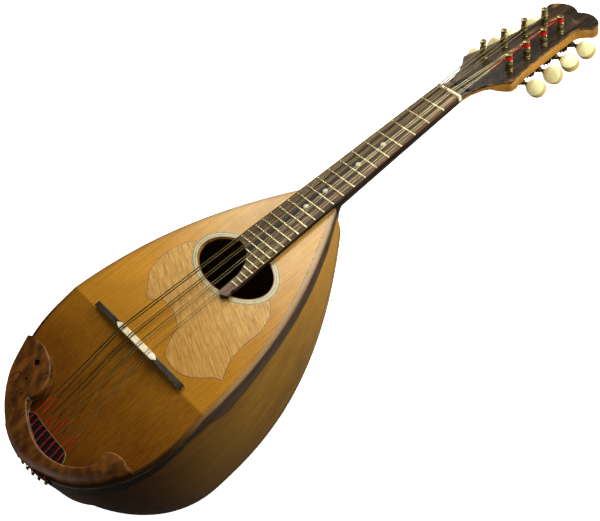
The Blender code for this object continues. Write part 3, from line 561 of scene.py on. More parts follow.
def cross_grain_inlay():
    look = Look("inlay_wood")
    _, y, _ = look.axes()
    look.place = look.moved(turn=0.38)
    rays = look.noise(800, across=0.07, detail=5, rough=0.65)
    figure = rays * 0.90 + look.noise(60, across=0.4, detail=3) * 0.10
    look.start(figure.rise(0.32, 0.68), (0.0, "a67628"), (0.5, "c29138"), (1.0, "d8ab50"))
    look.paint(look.noise(1000, across=0.20, rough=0.7).rise(0.54, 0.66, 0.50), "6a4012")
    look.paint(y.rise(0.075, 0.0, 0.36), "9a620f")
    return look.done(0.40, figure, 0.00005, coat=0.2, coat_rough=0.2, shine=0.2)


def bowl_rib():
    """Walnut, near black at the tail and paler towards the neck, partly painted shade and light, each rib a
    little different.
    """
    look = Look("bowl_rib")
    _, y, _ = look.axes()
    tone = look.noise(190, 0.035, detail=6, rough=0.6, twist=0.3) * 0.55 + look.noise(42, 0.10) * 0.45
    look.start(tone, (0.28, "4e360e"), (0.5, "7f5b20"), (0.75, "9c7628"))
    look.paint(look.made("ShaderNodeObjectInfo", output="Random") * 0.45, "6b4a18")
    look.paint(look.noise(1100, 0.07, detail=2).rise(0.60, 0.74, 0.35), "3a2408")
    # Darker towards the tail: painted shade, along with the walnut's own darker tone there. Paler towards the
    # neck: painted light.
    look.paint(y.rise(0.055, -0.095), "281203")
    look.paint(y.rise(0.070, 0.170, 0.45), "c49038")
    look.paint(look.noise(85, 0.4, detail=7, rough=0.75).rise(0.64, 0.76, 0.45), "3f2a14")
    rough = look.noise(60).spread(0.34, 0.52)
    return look.done(rough, tone, 0.00008, coat=0.12, coat_rough=0.25, shine=0.22)


def seam_line():
    look = Look("seam_fillet")
    look.start(look.noise(400, detail=3), (0.3, "0e0703"), (0.7, "22140a"))
    return look.done(0.55, look.noise(600), 0.00005)


def dark_band():
    look = Look("side_band_wood")
    _, y, _ = look.axes()
    streak = look.noise(120, 0.05, detail=5, twist=0.4)
    look.start(streak, (0.3, "2a2018"), (0.6, "453627"), (0.85, "57462f"))
    # Near black towards the tail: painted shade, deepest under the sleeve guard.
    look.paint(y.rise(0.020, -0.070), "0b0603")
    look.paint(look.worn(0.0010, 90, 0.45, 0.6, detail=5), "6b5436")
    return look.done(streak.spread(0.34, 0.50), streak, 0.00006, coat=0.10, coat_rough=0.25, shine=0.3)


def rosette_wood(name, first, second):
    look = Look(name)
    bands = look.noise(240, rough=0.6)
    look.start(bands, (0.3, first), (0.7, second))
    return look.done(0.45, bands, 0.00004, coat=0.3)


def burl():
    """Figured wood with ink-like cracks in its bass lobe, a pale worn inner edge and a shaded foot."""
    look = Look("hand_rest_wood")
    x, y, z = look.axes()
    swirl = look.noise(38, 0.6, detail=6, rough=0.6, twist=1.8)
    tone = swirl * 0.9 + look.wave(30, "Y", 7.0, 4.0, turn=0.6, small=1.6) * 0.1
    look.start(tone, (0.25, "251000"), (0.42, "462504"), (0.60, "683c08"), (0.80, "824d0b"))
    crack = abs(look.noise(24, 0.5, detail=3, twist=1.0) - 0.5).rise(0.010, 0.003)
    lobe = swirl.rise(0.38, 0.50) * x.rise(-0.010, -0.030)
    look.paint(crack * lobe, "150a03")
    look.paint(look.noise(750, 0.4, detail=3, rough=0.7).rise(0.60, 0.72, 0.5), "241206")
    rim = rim_distance(look, x, y)
    height = z - TOP_Z - (y - FOLD_Y) * math.tan(CANT)
    inner = rim.rise(0.0040, 0.0080) * height.rise(0.0078, 0.0070)
    look.paint(look.worn(0.0018, 60, 0.30, 0.50) * inner * 0.90, "c0a87c")
    look.paint(rim.rise(0.0040, 0.0) * height.rise(0.0052, 0.0016) * 0.9, "0c0602")
    return look.done(swirl.spread(0.42, 0.60), tone, 0.00012, shine=0.12)


def ebony():
    look = Look("ebony")
    streak = look.noise(200, across=0.12, detail=5)
    look.start(streak, (0.35, "17110a"), (0.8, "45371f"))
    look.paint(look.worn(0.0010, 120, 0.35, 0.6) * 0.8, "7c6640")
    return look.done(streak.spread(0.30, 0.48), streak, 0.00006, coat=0.05, shine=0.25)


def rosewood_board():
    """Streaky rosewood, paler on the tongue, with painted shade on its sides."""
    look = Look("fingerboard_rosewood")
    _, y, _ = look.axes()
    streak = look.noise(430, 0.020, detail=5, rough=0.65)
    tone = streak * 0.75 + look.noise(130, 0.05, detail=3) * 0.25
    contrast = tone.rise(0.38, 0.62)
    look.start(contrast, (0.0, "1a1008"), (0.35, "3c2a18"), (0.65, "65523a"), (1.0, "978260"))
    look.paint(look.noise(330, 0.03, detail=3).rise(0.52, 0.62, 0.65), "54200f")
    look.paint(look.noise(1500, 0.05, detail=2).rise(0.58, 0.68, 0.6), "170c06")
    look.paint(y.rise(0.110, 0.072, 0.45), "94806c")
    # Painted shade: darker where the surface turns away from facing up, on the board's sides.
    normal_up_for_side_shade = look.axes(look.made("ShaderNodeTexCoord", output="Normal"))[2]
    look.paint(normal_up_for_side_shade.rise(0.80, 0.30, 0.85), "120804")
    return look.done(streak.spread(0.42, 0.60), tone, 0.00008, shine=0.15)


def rosewood_face():
    look = Look("head_veneer")
    streak = look.noise(210, 0.05, detail=6, rough=0.6, twist=0.5)
    patch = look.noise(46, 0.35, twist=1.2)
    look.start(streak, (0.32, "0b0804"), (0.50, "22190c"), (0.70, "402c13"))
    warm = look.ramp(look.noise(300, 0.05), (0.3, "6e4216"), (0.7, "a87430"))
    look.paint(patch.rise(0.55, 0.66, 0.85), warm)
    look.paint(look.worn(0.0012, 150, 0.42, 0.58, detail=5), "9b7040")
    return look.done(patch.spread(0.22, 0.36), streak, 0.00005, coat=0.25, coat_rough=0.12, shine=0.35)


def maple_core():
    look = Look("head_core_wood")
    tone = look.noise(160, 0.06, detail=5, twist=0.3, up=0.6) * 0.94 + look.wave(60, "Y", 3.0, 2.0) * 0.06
    look.start(tone, (0.28, "6f4812"), (0.5, "9c6c22"), (0.75, "b98636"))
    look.paint(look.noise(70, detail=6, rough=0.7).rise(0.55, 0.72, 0.5), "5e3b12")
    return look.done(0.38, tone, 0.00006, coat=0.4, coat_rough=0.18)


def black_neck():
    look = Look("neck_black_stain")
    streak = look.noise(130, 0.03, detail=5)
    look.start(streak, (0.3, "0f0c0a"), (0.7, "241b15"))
    look.paint(look.noise(36, 0.3, detail=5).rise(0.55, 0.70, 0.45), "33210f")
    return look.done(streak.spread(0.28, 0.42), streak, 0.00004, coat=0.15, shine=0.35)


def ivory(name, warm, pale, side_shade=None):
    """Ivory, or an ivory-coloured button with painted shade on its sides, darker than its two faces."""
    look = Look(name)
    cloud = look.noise(160, twist=0.6)
    grain = look.noise(380, 0.12)
    look.start(cloud, (0.3, warm), (0.7, pale))
    look.paint(grain.rise(0.58, 0.75, 0.20), "d4c080")
    look.paint(look.noise(260, detail=5, rough=0.7).rise(0.60, 0.74) * 0.22, "8d7440")
    if side_shade:
        # Painted shade on the button's rounded side wall.
        look.paint(abs(look.axes()[1]).rise(0.0036, 0.0031, 0.85), side_shade)
    return look.done(cloud.spread(0.22, 0.38), grain, 0.00003, coat=0.3, inner_light=0.08)


def bone():
    look = Look("bone")
    streak = look.noise(300, across=0.12, detail=5)
    look.start(streak, (0.3, "dcc88f"), (0.6, "f6efce"), (0.8, "fdf9e6"))
    look.paint(look.noise(220, detail=5, rough=0.7).rise(0.60, 0.70, 0.45), "9a6a35")
    return look.done(0.38, streak, 0.00005, coat=0.2)


def aged_metal(name, dark, mid, bright, wear="b7a873", smooth=0.24, dull=0.5):
    look = Look(name)
    cloud = look.noise(420, detail=6, rough=0.65)
    look.start(cloud, (0.30, dark), (0.52, mid), (0.75, bright))
    look.paint(look.edges(0.0006) * 0.7, wear)
    return look.done(cloud.spread(dull, smooth), look.noise(1500, detail=3), 0.00003, metal=0.9)


def wound_string():
    look = Look("wound_string")
    winds = look.wave(1600, "Y", 0.0, 0.0)
    look.start(winds, (0.2, "4e4324"), (0.8, "6d5e34"))
    return look.done(0.40, winds, 0.00001, metal=0.85)


def plain_string():
    look = Look("plain_string")
    stain = look.noise(300, 0.2)
    look.start(stain, (0.3, "8c8058"), (0.7, "b8ae82"))
    return look.done(stain.spread(0.32, 0.42), stain, 0.00001, metal=1.0)


def red_silk():
    look = Look("red_silk")
    twist = look.wave(1500, "DIAGONAL", 0.8, 1.0)
    look.start(twist, (0.2, "8e0a04"), (0.8, "d41c0c"))
    look.paint(look.noise(2400, 0.3, detail=3).rise(0.6, 0.7, 0.3), "6e0d06")
    return look.done(0.7, twist, 0.00005, shine=0.2)


def cloth_strip():
    look = Look("damper_cloth")
    weave = look.wave(1400, "X", 0.6, 1.0) * look.wave(1400, "Y", 0.6, 1.0)
    look.start(weave, (0.1, "10162a"), (0.8, "303e62"))
    return look.done(0.9, weave, 0.0001, sheen=0.05, shine=0.1)


def pad_leather():
    look = Look("string_pad_leather")
    look.start(look.noise(160, detail=5), (0.3, "090608"), (0.7, "1b1215"))
    look.paint(look.edges(0.0008) * 0.4, "5a4e3a")
    cells = look.made("ShaderNodeTexVoronoi", {"Vector": look.moved(), "Scale": 700}, "Distance")
    return look.done(0.65, cells, 0.00015, shine=0.12)


def inside_wood():
    look = Look("inside_wood")
    grain = look.noise(160, 0.06, detail=5)
    look.start(grain, (0.3, "4c2c16"), (0.7, "7b5230"))
    return look.done(0.75, grain, 0.00010)


def floor_paint():
    """Paint that glows for the camera only, so that it stays pale and throws little light up."""
    look = Look("floor_paint")
    mottle = look.noise(3, detail=3)
    seen = look.made("ShaderNodeLightPath", output="Is Camera Ray")
    look.base = look.mix(seen, "5a554c", look.ramp(mottle, (0.3, "fafafa"), (0.7, "ffffff")))
    return look.done(0.9, mottle, 0.0001, glow=seen * 0.80)


LOOKS = {
    "spruce": spruce_top(),
    "inlay": cross_grain_inlay(),
    "rib": bowl_rib(),
    "seam": seam_line(),
    "band": dark_band(),
    "rosette_pale": rosette_wood("rosette_pale", "aa9b56", "cabd78"),
    "rosette_green": rosette_wood("rosette_green", "7d7542", "a4985a"),
    "rosette_dark": rosette_wood("rosette_dark", "2c2417", "4a3d27"),
    "rosette_red": rosette_wood("rosette_red", "6b3112", "8f4a1d"),
    "red_line": rosette_wood("edge_line", "3a170a", "5a2812"),
    "burl": burl(),
    "bridge": ebony(),
    "board": rosewood_board(),
    "veneer": rosewood_face(),
    "maple": maple_core(),
    "neck": black_neck(),
    "ivory": ivory("ivory", "d9cfa4", "efe8cb"),
    # The button's last colour is the painted shade on its sides.
    "button": ivory("button_ivory", "f3e8a4", "fffac4", "ab9350"),
    "bone": bone(),
    "post": aged_metal("post_brass", "38301c", "6f6238", "a3935c"),
    "fret": aged_metal("fret_brass", "c8bb76", "efe6a8", "fbf5ca", "fffadc", 0.30, 0.45),
    "dark_brass": aged_metal("dark_brass", "1d160c", "44351d", "7a6436", "8e7a48", 0.3, 0.55),
    "shaft": aged_metal("shaft_brass", "2a2212", "675733", "b09c62", "cbb982", 0.28, 0.45),
    "wound": wound_string(),
    "plain": plain_string(),
    "silk": red_silk(),
    "cloth": cloth_strip(),
    "pad": pad_leather(),
    "inside": inside_wood(),
}


# Body shapes

def half_width(y, inset=0.0):
    along = y - TAIL_Y
    if along > 0:
        return HALF_WIDTH * (1 - (along / SHOULDER_LENGTH) ** SHOULDER_POWER) - inset
    return math.sqrt(max((HALF_WIDTH - inset) ** 2 - along ** 2, 0))


def board_z(y):
    return TOP_Z + min(y - FOLD_Y, 0) * math.tan(CANT)


def bowl_bottom(y):
    if y > BOWL_DEEPEST_Y:
        depth = 1 - ((y - BOWL_DEEPEST_Y) / BOWL_NECK_LENGTH) ** BOWL_NECK_POWER
    else:
        share = (BOWL_DEEPEST_Y - y) / (BOWL_DEEPEST_Y - TAIL_Y + HALF_WIDTH)
        depth = max(1 - share ** BOWL_TAIL_POWER, 0) ** (1 / BOWL_TAIL_POWER)
    return TOP_Z - BOWL_DEPTH * depth


def section_point(y, turn, inset, proud=0.0):
    """A point of the bowl's section: turn 0 is the treble rim, pi / 2 the bottom, pi the bass rim."""
    top = board_z(y) - TOP_THICKNESS - GAP
    depth = max(top - bowl_bottom(y), 0.0005) + proud
    across = math.cos(turn)
    wide = half_width(y, inset * (1 - 0.8 * math.sin(turn))) + proud
    x = math.copysign(abs(across) ** (2 / SECTION_POWER), across) * wide
    return Vector((x, y, top - depth * math.sin(turn) ** (2 / SECTION_POWER)))


def bowl_stations(inset, tail_steps=26, neck_steps=40):
    radius = HALF_WIDTH - inset
    stations = []
    for k in range(tail_steps):
        stations.append(TAIL_Y - radius * math.cos(0.03 + (math.pi / 2 - 0.03) * k / tail_steps))
    for k in range(neck_steps + 1):
        stations.append(TAIL_Y + (NECK_JOINT_Y - GAP - TAIL_Y) * k / neck_steps)
    return stations


def body_outline(inset, steps=48):
    shoulder = [NECK_JOINT_Y - GAP + (TAIL_Y - NECK_JOINT_Y) * k / steps for k in range(steps)]
    half = [(half_width(y, inset), y) for y in shoulder]
    radius = HALF_WIDTH - inset
    for k in range(steps + 1):
        turn = math.pi / 2 * k / steps
        half.append((radius * math.cos(turn), TAIL_Y - radius * math.sin(turn)))
    return mirrored(half)


def between(stops, place):
    """The value at a place between (place, value) stops, eased from stop to stop."""
    if place <= stops[0][0]:
        return stops[0][1]
    for (start, low), (end, high) in zip(stops, stops[1:]):
        if place <= end:
            t = (place - start) / (end - start)
            return low + (high - low) * t * t * (3 - 2 * t)
    return stops[-1][1]


# Depth of the side band and of the tail cap below the soundboard, at places along the strings
BAND_DEPTHS = mm(
    (-119.5, 13.5), (-85, 10), (-60, 7.6), (-40, 5.6), (-24, 5), (-8, 8), (8, 12.8), (14, 13.4), (30, 11.6),
    (60, 10.4), (120, 9.6), (150, 8.2), (185, 5)
)
CAP_DEPTHS = mm((-119.5, 34), (-80, 26), (-45, 19.5), (-30, 20), (-17, 27.5), (-6, 30), (2, 19), (11, 13.7))


def make_body():
    hole = oval(*HOLE_HALF)
    top = sheet(body_outline(0.0002), TOP_Z - TOP_THICKNESS, TOP_Z, [hole])
    piece("soundboard_spruce", fold(top), "spruce", bevel=0.0007, replaces=["soundboard"])
    under = TOP_Z - TOP_THICKNESS
    lining = fold(sheet(body_outline(0.0001), under - GAP, under + 0.0001, [hole]))
    piece("soundboard_edge_line", lining, "red_line")
    make_rosette()
    make_scratchplate()
    make_ribs()
    make_bands()
    for name in ("neck_block", "tail_block", "brace"):
        assign(name, "inside")


def make_rosette():
    """Rings of inlay around the sound hole; each runs between two shares of the rosette's width."""
    rings = (
        ("rim", 0.0, 0.16, "rosette_red"),
        ("inner", 0.16, 0.40, "rosette_pale"),
        ("line", 0.40, 0.47, "rosette_dark"),
        ("middle", 0.47, 0.76, "rosette_pale"),
        ("groove", 0.76, 0.83, "rosette_dark"),
        ("outer", 0.83, 1.0, "rosette_green"),
    )
    rise = 0.00012
    for name, start, end, look in rings:
        ovals = []
        for share in (end, start):
            ovals.append(oval(*[a + (b - a) * share for a, b in zip(HOLE_HALF, ROSETTE_HALF)]))
        bm = sheet(ovals[0], TOP_Z - 0.0011, TOP_Z + rise, [ovals[1]])
        replaced = ["rosette"] if name == "middle" else ()
        piece(f"rosette_{name}", bm, look, replaces=replaced, bevel=0.00005)


def scratchplate_outline():
    """The scratchplate's kite shape, tucked under the rosette at its upper edge."""
    treble = smooth_run(mm(
        (50.5, 90), (60, 81.5), (65, 69), (65.2, 54), (67.2, 40), (72, 30), (77.5, 22.5)
    ))
    lower = smooth_run(mm(
        (77.5, 22.5), (70, 19.6), (63, 13), (52, 6.2), (43, 4.4), (32, 4.8), (21, 10), (11, 28.5)
    ))
    middle = smooth_run(mm((11, 28.5), (3.3, 32.5), (-7.3, 36), (-20, 36.6)))
    bass = smooth_run(mm(
        (-20, 36.6), (-32, 29), (-40, 34.5), (-54, 46), (-59, 60), (-58.3, 72), (-54.5, 83), (-49, 90)
    ))
    return treble[:-1] + lower[:-1] + middle[:-1] + bass + [(-0.0300, 0.0950), (0.0300, 0.0950)]


def make_scratchplate():
    outline = scratchplate_outline()
    ring = oval(ROSETTE_HALF[0] - 0.0001, ROSETTE_HALF[1] - 0.0001)

    def outside_ring(shape, rise):
        inlay = sheet(shape, TOP_Z - INLAY_DEPTH, TOP_Z + rise)
        return carved(inlay, prism(ring, TOP_Z - 0.01, TOP_Z + 0.01))

    piece("scratchplate_inlay", outside_ring(outline, 0.00010), "inlay",
          replaces=["scratchplate"])
    piece("scratchplate_line", outside_ring(grown(outline, LINE_WIDTH), 0.00005), "rosette_dark")


def rib_turns():
    inner = math.pi - 2 * SIDE_RIB_TURN
    return [0.0] + [SIDE_RIB_TURN + inner * k / NARROW_RIBS for k in range(NARROW_RIBS + 1)] + [math.pi]


def make_ribs():
    """Staves of the bowl, each nearly flat across, with dark fillets in their seams."""
    turns = rib_turns()
    stations = bowl_stations(BOWL_INSET)
    for index, (start, end) in enumerate(zip(turns, turns[1:])):
        steps = 14 if index in (0, NARROW_RIBS + 1) else 5
        rows = []
        for y in stations:
            first = section_point(y, start, BOWL_INSET)
            last = section_point(y, end, BOWL_INSET)
            row = []
            for k in range(steps + 1):
                share = k / steps
                curved = section_point(y, start + (end - start) * share, BOWL_INSET)
                row.append(curved if steps > 5 else curved.lerp(first.lerp(last, share), 0.5))
            rows.append(row)
        replaced = ["bowl"] if index == 0 else ()
        piece(f"bowl_rib_{index + 1}", thick_surface(rows, 0.0022), "rib", replaces=replaced)
    for index, turn in enumerate(turns[1:-1]):
        points = [section_point(y, turn, BOWL_INSET, -0.00010) for y in stations]
        wire(f"bowl_seam_{index + 1}", points, 0.00030, "seam")


def rim_places(start, steps):
    half = [(start + (TAIL_Y - start) * k / steps, 1) for k in range(steps)]
    for k in range(steps):
        half.append((TAIL_Y - HALF_WIDTH * math.sin(math.pi / 2 * k / steps), 1))
    return half + [(TAIL_Y - HALF_WIDTH, 1)] + [(y, -side) for y, side in reversed(half)]


def on_skin(y, side, drop, inset, z):
    """A point on the bowl's skin, straight in from a place on its rim, at a drop below it."""
    if y > TAIL_Y:
        share = min(drop / max(TOP_Z - bowl_bottom(y), drop + 0.01), 1)
        across = (1 - share ** SECTION_POWER) ** (1 / SECTION_POWER)
        return Vector((side * half_width(y, inset) * across, y, z))
    across, along = half_width(y) / HALF_WIDTH, (y - TAIL_Y) / HALF_WIDTH
    low, high = 0.7 * HALF_WIDTH, HALF_WIDTH
    for _ in range(20):
        radius = (low + high) / 2
        spot = TAIL_Y + radius * along
        depth = max(TOP_Z - bowl_bottom(spot), 1e-6)
        reach = radius * across / max(half_width(spot), 1e-6)
        if reach ** SECTION_POWER + (drop / depth) ** SECTION_POWER < 1:
            low = radius
        else:
            high = radius
    return Vector((side * (low - inset) * across, TAIL_Y + (low - inset) * along, z))


def make_bands():
    """The dark capping strip under the soundboard's edge, and the wider cap that wraps the tail."""
    rows = []
    for y, side in rim_places(NECK_JOINT_Y - GAP, 110):
        top = board_z(y) - TOP_THICKNESS - GAP
        deep = between(BAND_DEPTHS, y)
        rows.append([Vector((side * half_width(y), y, top - deep * k / 4)) for k in range(5)])
    piece("side_band_strip", thick_surface(rows, BAND_THICKNESS), "band", bevel=0.0003,
          replaces=["side_band"])
    rows = []
    for y, side in rim_places(0.0105, 46):
        top = board_z(y) - TOP_THICKNESS - GAP
        deep = between(CAP_DEPTHS, y)
        start = between(BAND_DEPTHS, y) - 0.0008
        row = []
        for k in range(7):
            drop = start + (deep - start) * k / 6
            row.append(on_skin(y, side, drop, 0.0005 + 0.0004 * k / 6, top - drop))
        rows.append(row)
    piece("tail_cap_veneer", thick_surface(rows, 0.0008), "rib", bevel=0.0002)


# Tail

def rest_inner():
    """The sleeve guard's inner edge: a bass lobe, a narrow waist over the strings and a treble hook."""
    lobe = smooth_run(mm(
        (-85, -58.2), (-78, -55.8), (-63.7, -54.5), (-54.6, -56.3), (-46.1, -59.2), (-39.6, -63.6),
        (-34.1, -69.9), (-32.3, -75.6), (-32.3, -80.8), (-34.7, -85.2), (-36.6, -88.6)
    ))
    waist = smooth_run(mm(
        (-36.6, -88.6), (-34.5, -92.1), (-22.8, -98.5), (-11.7, -102.6), (-2, -105.1), (8, -105.9),
        (18.3, -105.2), (28.1, -102.9), (36.5, -99.8)
    ))
    hook = smooth_run(mm(
        (36.5, -99.8), (44.3, -95.1), (50.8, -89.7), (55, -84), (55.9, -79.1), (53.7, -76.3), (54.2, -73.2),
        (58, -70), (63, -67.6), (70.3, -66.5), (77, -66.7), (81.5, -67.2)
    ))
    return lobe[:-1] + waist[:-1] + hook


def tail_point(x, radius, z):
    turn = math.asin(x / HALF_WIDTH)
    return Vector((radius * math.sin(turn), TAIL_Y - radius * math.cos(turn), z))


def on_cant(bm):
    """Leans a shape that was modelled flat at the soundboard's height down onto its canted tail."""
    for vert in bm.verts:
        vert.co.z += (vert.co.y - FOLD_Y) * math.tan(CANT)
    return bm


def rest_height(from_outer, from_inner, reach):
    """Height of the sleeve guard's top: domed at the rim, with a short bevel on its inner edge."""
    def rounded(distance, radius, foot):
        share = 1 - min(distance / radius, 1)
        return foot + (1 - foot) * math.sqrt(1 - share * share)
    outer = rounded(from_outer, 0.0065 * reach, 0.15)
    inner = rounded(from_inner, 0.0018 * reach, 0.72)
    return REST_THICKNESS * min(outer, inner) * reach


def make_hand_rest():
    """The sleeve guard, ruled from the rim to its inner edge, with holes and a channel for the strings."""
    low = TOP_Z + GAP
    rows = []
    turn = -math.pi / 2
    for x, y in rest_inner():
        turn = max(math.atan2(x, TAIL_Y - y), turn + 0.0005)
        radius = HALF_WIDTH + between(REST_OVERHANG, turn)
        outer = Vector((radius * math.sin(turn), TAIL_Y - radius * math.cos(turn)))
        inner = Vector((x, y))
        wide = max((outer - inner).length, 0.0004)
        reach = min(wide / 0.0090, 1)
        steps = [d * reach for d in (0, 0.0004, 0.0009, 0.0017, 0.0028, 0.0044, 0.0066)]
        steps += [wide / 2] + [wide - d * reach for d in (0.0018, 0.0011, 0.0006, 0.0002, 0)]
        steps.sort()
        under = low + (STRING_CHANNEL if abs(x) < 0.0305 and y < -0.0900 else 0)
        row = [(*outer, under)]
        for step in steps:
            spot = outer.lerp(inner, step / wide)
            row.append((*spot, max(low + rest_height(step, wide - step, reach), under + 0.0004)))
        rows.append(row + [(*inner, under)])
    bm = closed_run(rows)
    for spot, size in zip(mm((-55.9, -66.7), (-51.5, -80.9), (-44, -90.9)), (0.0024, 0.0010, 0.0008)):
        bm = carved(bm, prism(oval(size * 1.4, size, 20, spot), low + 0.003, low + 0.02))
    piece("hand_rest_shell", on_cant(bm), "burl", replaces=["hand_rest"], angle=40)


def make_string_pad():
    """The leather pad under the strings, with a thin border, partly under the sleeve guard."""
    outline = smooth_run(mm(
        (-30.5, -96), (-27.6, -93.1), (-22.6, -91.8), (-17.1, -92.7), (1.5, -93.4), (18.9, -93.4),
        (24, -94.6), (27.2, -97.5), (28.5, -101)
    ), 4)
    outline += mm((28.5, -110), (-29, -110))
    low = TOP_Z + 0.0002
    piece("string_pad_leather", on_cant(prism(outline, low, low + 0.0011)), "pad", bevel=0.0003,
          replaces=["string_pad"])
    piece("string_pad_border", on_cant(prism(grown(outline, 0.0004), low, low + 0.0006)), "rosette_green")


def make_clasp():
    """A curved strip with a scalloped edge around the tail, and the eight pins that hold the strings."""
    rows = []
    for k in range(25):
        x = 0.0280 * (k / 12 - 1)
        edge = 0.0006 * math.cos(k * math.pi)
        rows.append([tail_point(x, HALF_WIDTH + 0.0013, z) for z in (-0.0278, -0.0305, -0.0338 - edge)])
    piece("tail_clasp_strip", thick_surface(rows, 0.0010), "dark_brass", bevel=0.0002,
          replaces=["tail_clasp"])
    profile = mm((0, 2.2), (1, 2.1), (1.6, 1.6), (1.6, 1.1), (0.9, 0.7), (0.9, -1), (0, -1))
    for index in range(8):
        x = (index - 3.5) * PIN_SPACING
        lean = Matrix.Rotation(math.asin(x / HALF_WIDTH), 4, "Z")
        place = HOME @ Matrix.Translation(tail_point(x, HALF_WIDTH + 0.0013, PIN_Z)) @ lean
        piece(f"hitch_pin_{index + 1}", lathe(profile, 16), "dark_brass",
              place=place @ Matrix.Rotation(math.pi / 2, 4, "X"))


# Neck and fingerboard

def board_half_width(y):
    share = (SCALE_LENGTH - y) / SCALE_LENGTH
    return BOARD_HALF_WIDTHS[0] + (BOARD_HALF_WIDTHS[1] - BOARD_HALF_WIDTHS[0]) * share


def fret_y(number):
    return SCALE_LENGTH * 2 ** (-number / 12)


def tongue_left(y):
    """Left edge of the fingerboard's treble tongue, a hollow curve over the soundhole."""
    share = min(max((y - TONGUE_BEND_Y) / (BOARD_END_Y - TONGUE_BEND_Y), 0), 1)
    corner = -board_half_width(BOARD_END_Y)
    return corner + (TONGUE_LEFT_X - corner) * (1 - share ** TONGUE_POWER) ** (1 / TONGUE_POWER)


def fingerboard_outline(steps=32):
    top_y = SCALE_LENGTH - 0.0016
    right = [(board_half_width(top_y), top_y), (board_half_width(0.0800), 0.0800)]
    right += smooth_run(mm((20.6, 79.2), (19.6, 77), (20.6, 74), (21.4, 71.4)), 4)
    tip = [(0.0150, TONGUE_TIP_Y - 0.0006), (TONGUE_LEFT_X, TONGUE_TIP_Y)]
    hollow = []
    for k in range(steps + 1):
        share = math.sin(math.pi / 2 * k / steps) ** (2 / TONGUE_POWER)
        y = TONGUE_BEND_Y + (BOARD_END_Y - TONGUE_BEND_Y) * share
        hollow.append((tongue_left(y), y))
    return right + tip + hollow + [(-board_half_width(top_y), top_y)]


def make_fingerboard():
    top = -FRET_HEIGHT
    piece("fingerboard_wood", prism(fingerboard_outline(), top - BOARD_THICKNESS, top), "board",
          bevel=0.0004, replaces=["fingerboard"])
    for number in range(1, FRET_COUNT + 1):
        y = fret_y(number)
        right = board_half_width(y) - 0.0002
        left = -right if number <= FULL_FRETS else tongue_left(y) + 0.0008
        turns = [math.pi * k / 10 for k in range(11)]
        high = 0.95 * FRET_HEIGHT
        section = [(y + FRET_HALF_WIDTH * math.cos(t), top + high * math.sin(t)) for t in turns]
        ends = ((left, 0.0), (left + 0.0004, 1.0), (right - 0.0004, 1.0), (right, 0.0))
        rows = [[(x, a, top + (z - top) * (0.35 + 0.65 * full)) for a, z in section] for x, full in ends]
        piece(f"fret_{number}", closed_run(rows), "fret")
    for number in DOT_FRETS:
        y = (fret_y(number) + fret_y(number - 1)) / 2
        dot = lathe(mm((0, 0.12), (2, 0.10), (2.2, 0), (2.2, -1), (0, -1)), 24)
        piece(f"dot_{number}", dot, "ivory", place=HOME @ Matrix.Translation((0, y, top)))


def make_nut():
    half = BOARD_HALF_WIDTHS[0] + 0.0001
    section = mm((-1.2, 0), (-1.2, 4.8), (-0.6, 5.6), (0.6, 5.8), (1.8, 4.8), (1.8, 0))
    low = TOP_Z + GAP
    rows = [[(x, SCALE_LENGTH + a, low + b) for a, b in section] for x in (-half, half)]
    nut = closed_run(rows)
    for index in range(8):
        x = string_places(index)[1]
        wide = STRING_RADII[index // 2] + 0.0001
        slot = block((x - wide, SCALE_LENGTH - 0.003, 0.0007), (x + wide, SCALE_LENGTH + 0.003, 0.004))
        nut = carved(nut, slot)
    piece("nut_ivory", nut, "bone", bevel=0.00015, replaces=["nut"])


def neck_ring(wide, top, depth, power, y, count=24):
    row = []
    for k in range(count + 1):
        turn = math.pi * k / count
        across = math.cos(turn)
        x = math.copysign(wide * abs(across) ** power, across)
        row.append((x, y, top - depth * math.sin(turn) ** power))
    return row


def make_neck():
    """A dark-stained neck with a heel, and the paler underside where it widens into the head."""
    joint = NECK_JOINT_Y + GAP
    rows = []
    for y in [joint + 0.009 * k / 8 for k in range(9)] + [0.200 + 0.130 * k / 12 for k in range(13)]:
        slim = 0.0092 + 0.046 * (SCALE_LENGTH - y)
        heel = max(1 - (y - NECK_JOINT_Y) / 0.009, 0)
        depth = slim + (TOP_Z - bowl_bottom(NECK_JOINT_Y) - slim) * heel ** 1.8
        rows.append(neck_ring(board_half_width(y), TOP_Z, depth, 1.2, y))
    piece("neck_shaft", closed_run(rows), "neck", replaces=["neck"], angle=45)
    rows = []
    for k in range(13):
        share = k / 12
        beyond = GAP + HEAD_ROOT_LENGTH * share
        wide = between(mm((0, 12.7), (12, 12.6), (24, 15.2), (32, 19.4), (40, 24)), beyond)
        top = min(HEAD_Z - VENEER - 0.0006 - beyond * math.tan(HEAD_TILT), TOP_Z)
        power = 1.2 - 0.7 * share ** 2
        rows.append(neck_ring(wide, top, 0.0092 - 0.0021 * share, power, SCALE_LENGTH + beyond))
    piece("head_root", closed_run(rows), "maple", angle=45)


def head_outline(start, per=6):
    """Right half of the head's outline, from just above the nut up to the dip between its two lobes."""
    swell = smooth_run([(0.0126, start)] + mm((12.4, 12), (15, 24), (21, 35), (27, 42.5)), per)
    corner = smooth_run(mm((27, 42.5), (28.4, 44.5), (28.1, 48)), per)
    taper = smooth_run(mm((28.1, 48), (24, 66), (20.5, 95), (17.3, 127)), per)
    flare = smooth_run(mm((17.3, 127), (18, 137), (23.5, 144)), per)
    tip = [(0.0130, HEAD_LENGTH)] + mm((5, 160.6), (0, 157.5))
    lobe = smooth_run(mm((23.5, 144), (27.2, 147.5), (27, 153), (22, 158.5)) + tip, per)
    return swell[:-1] + corner[:-1] + taper[:-1] + flare[:-1] + lobe


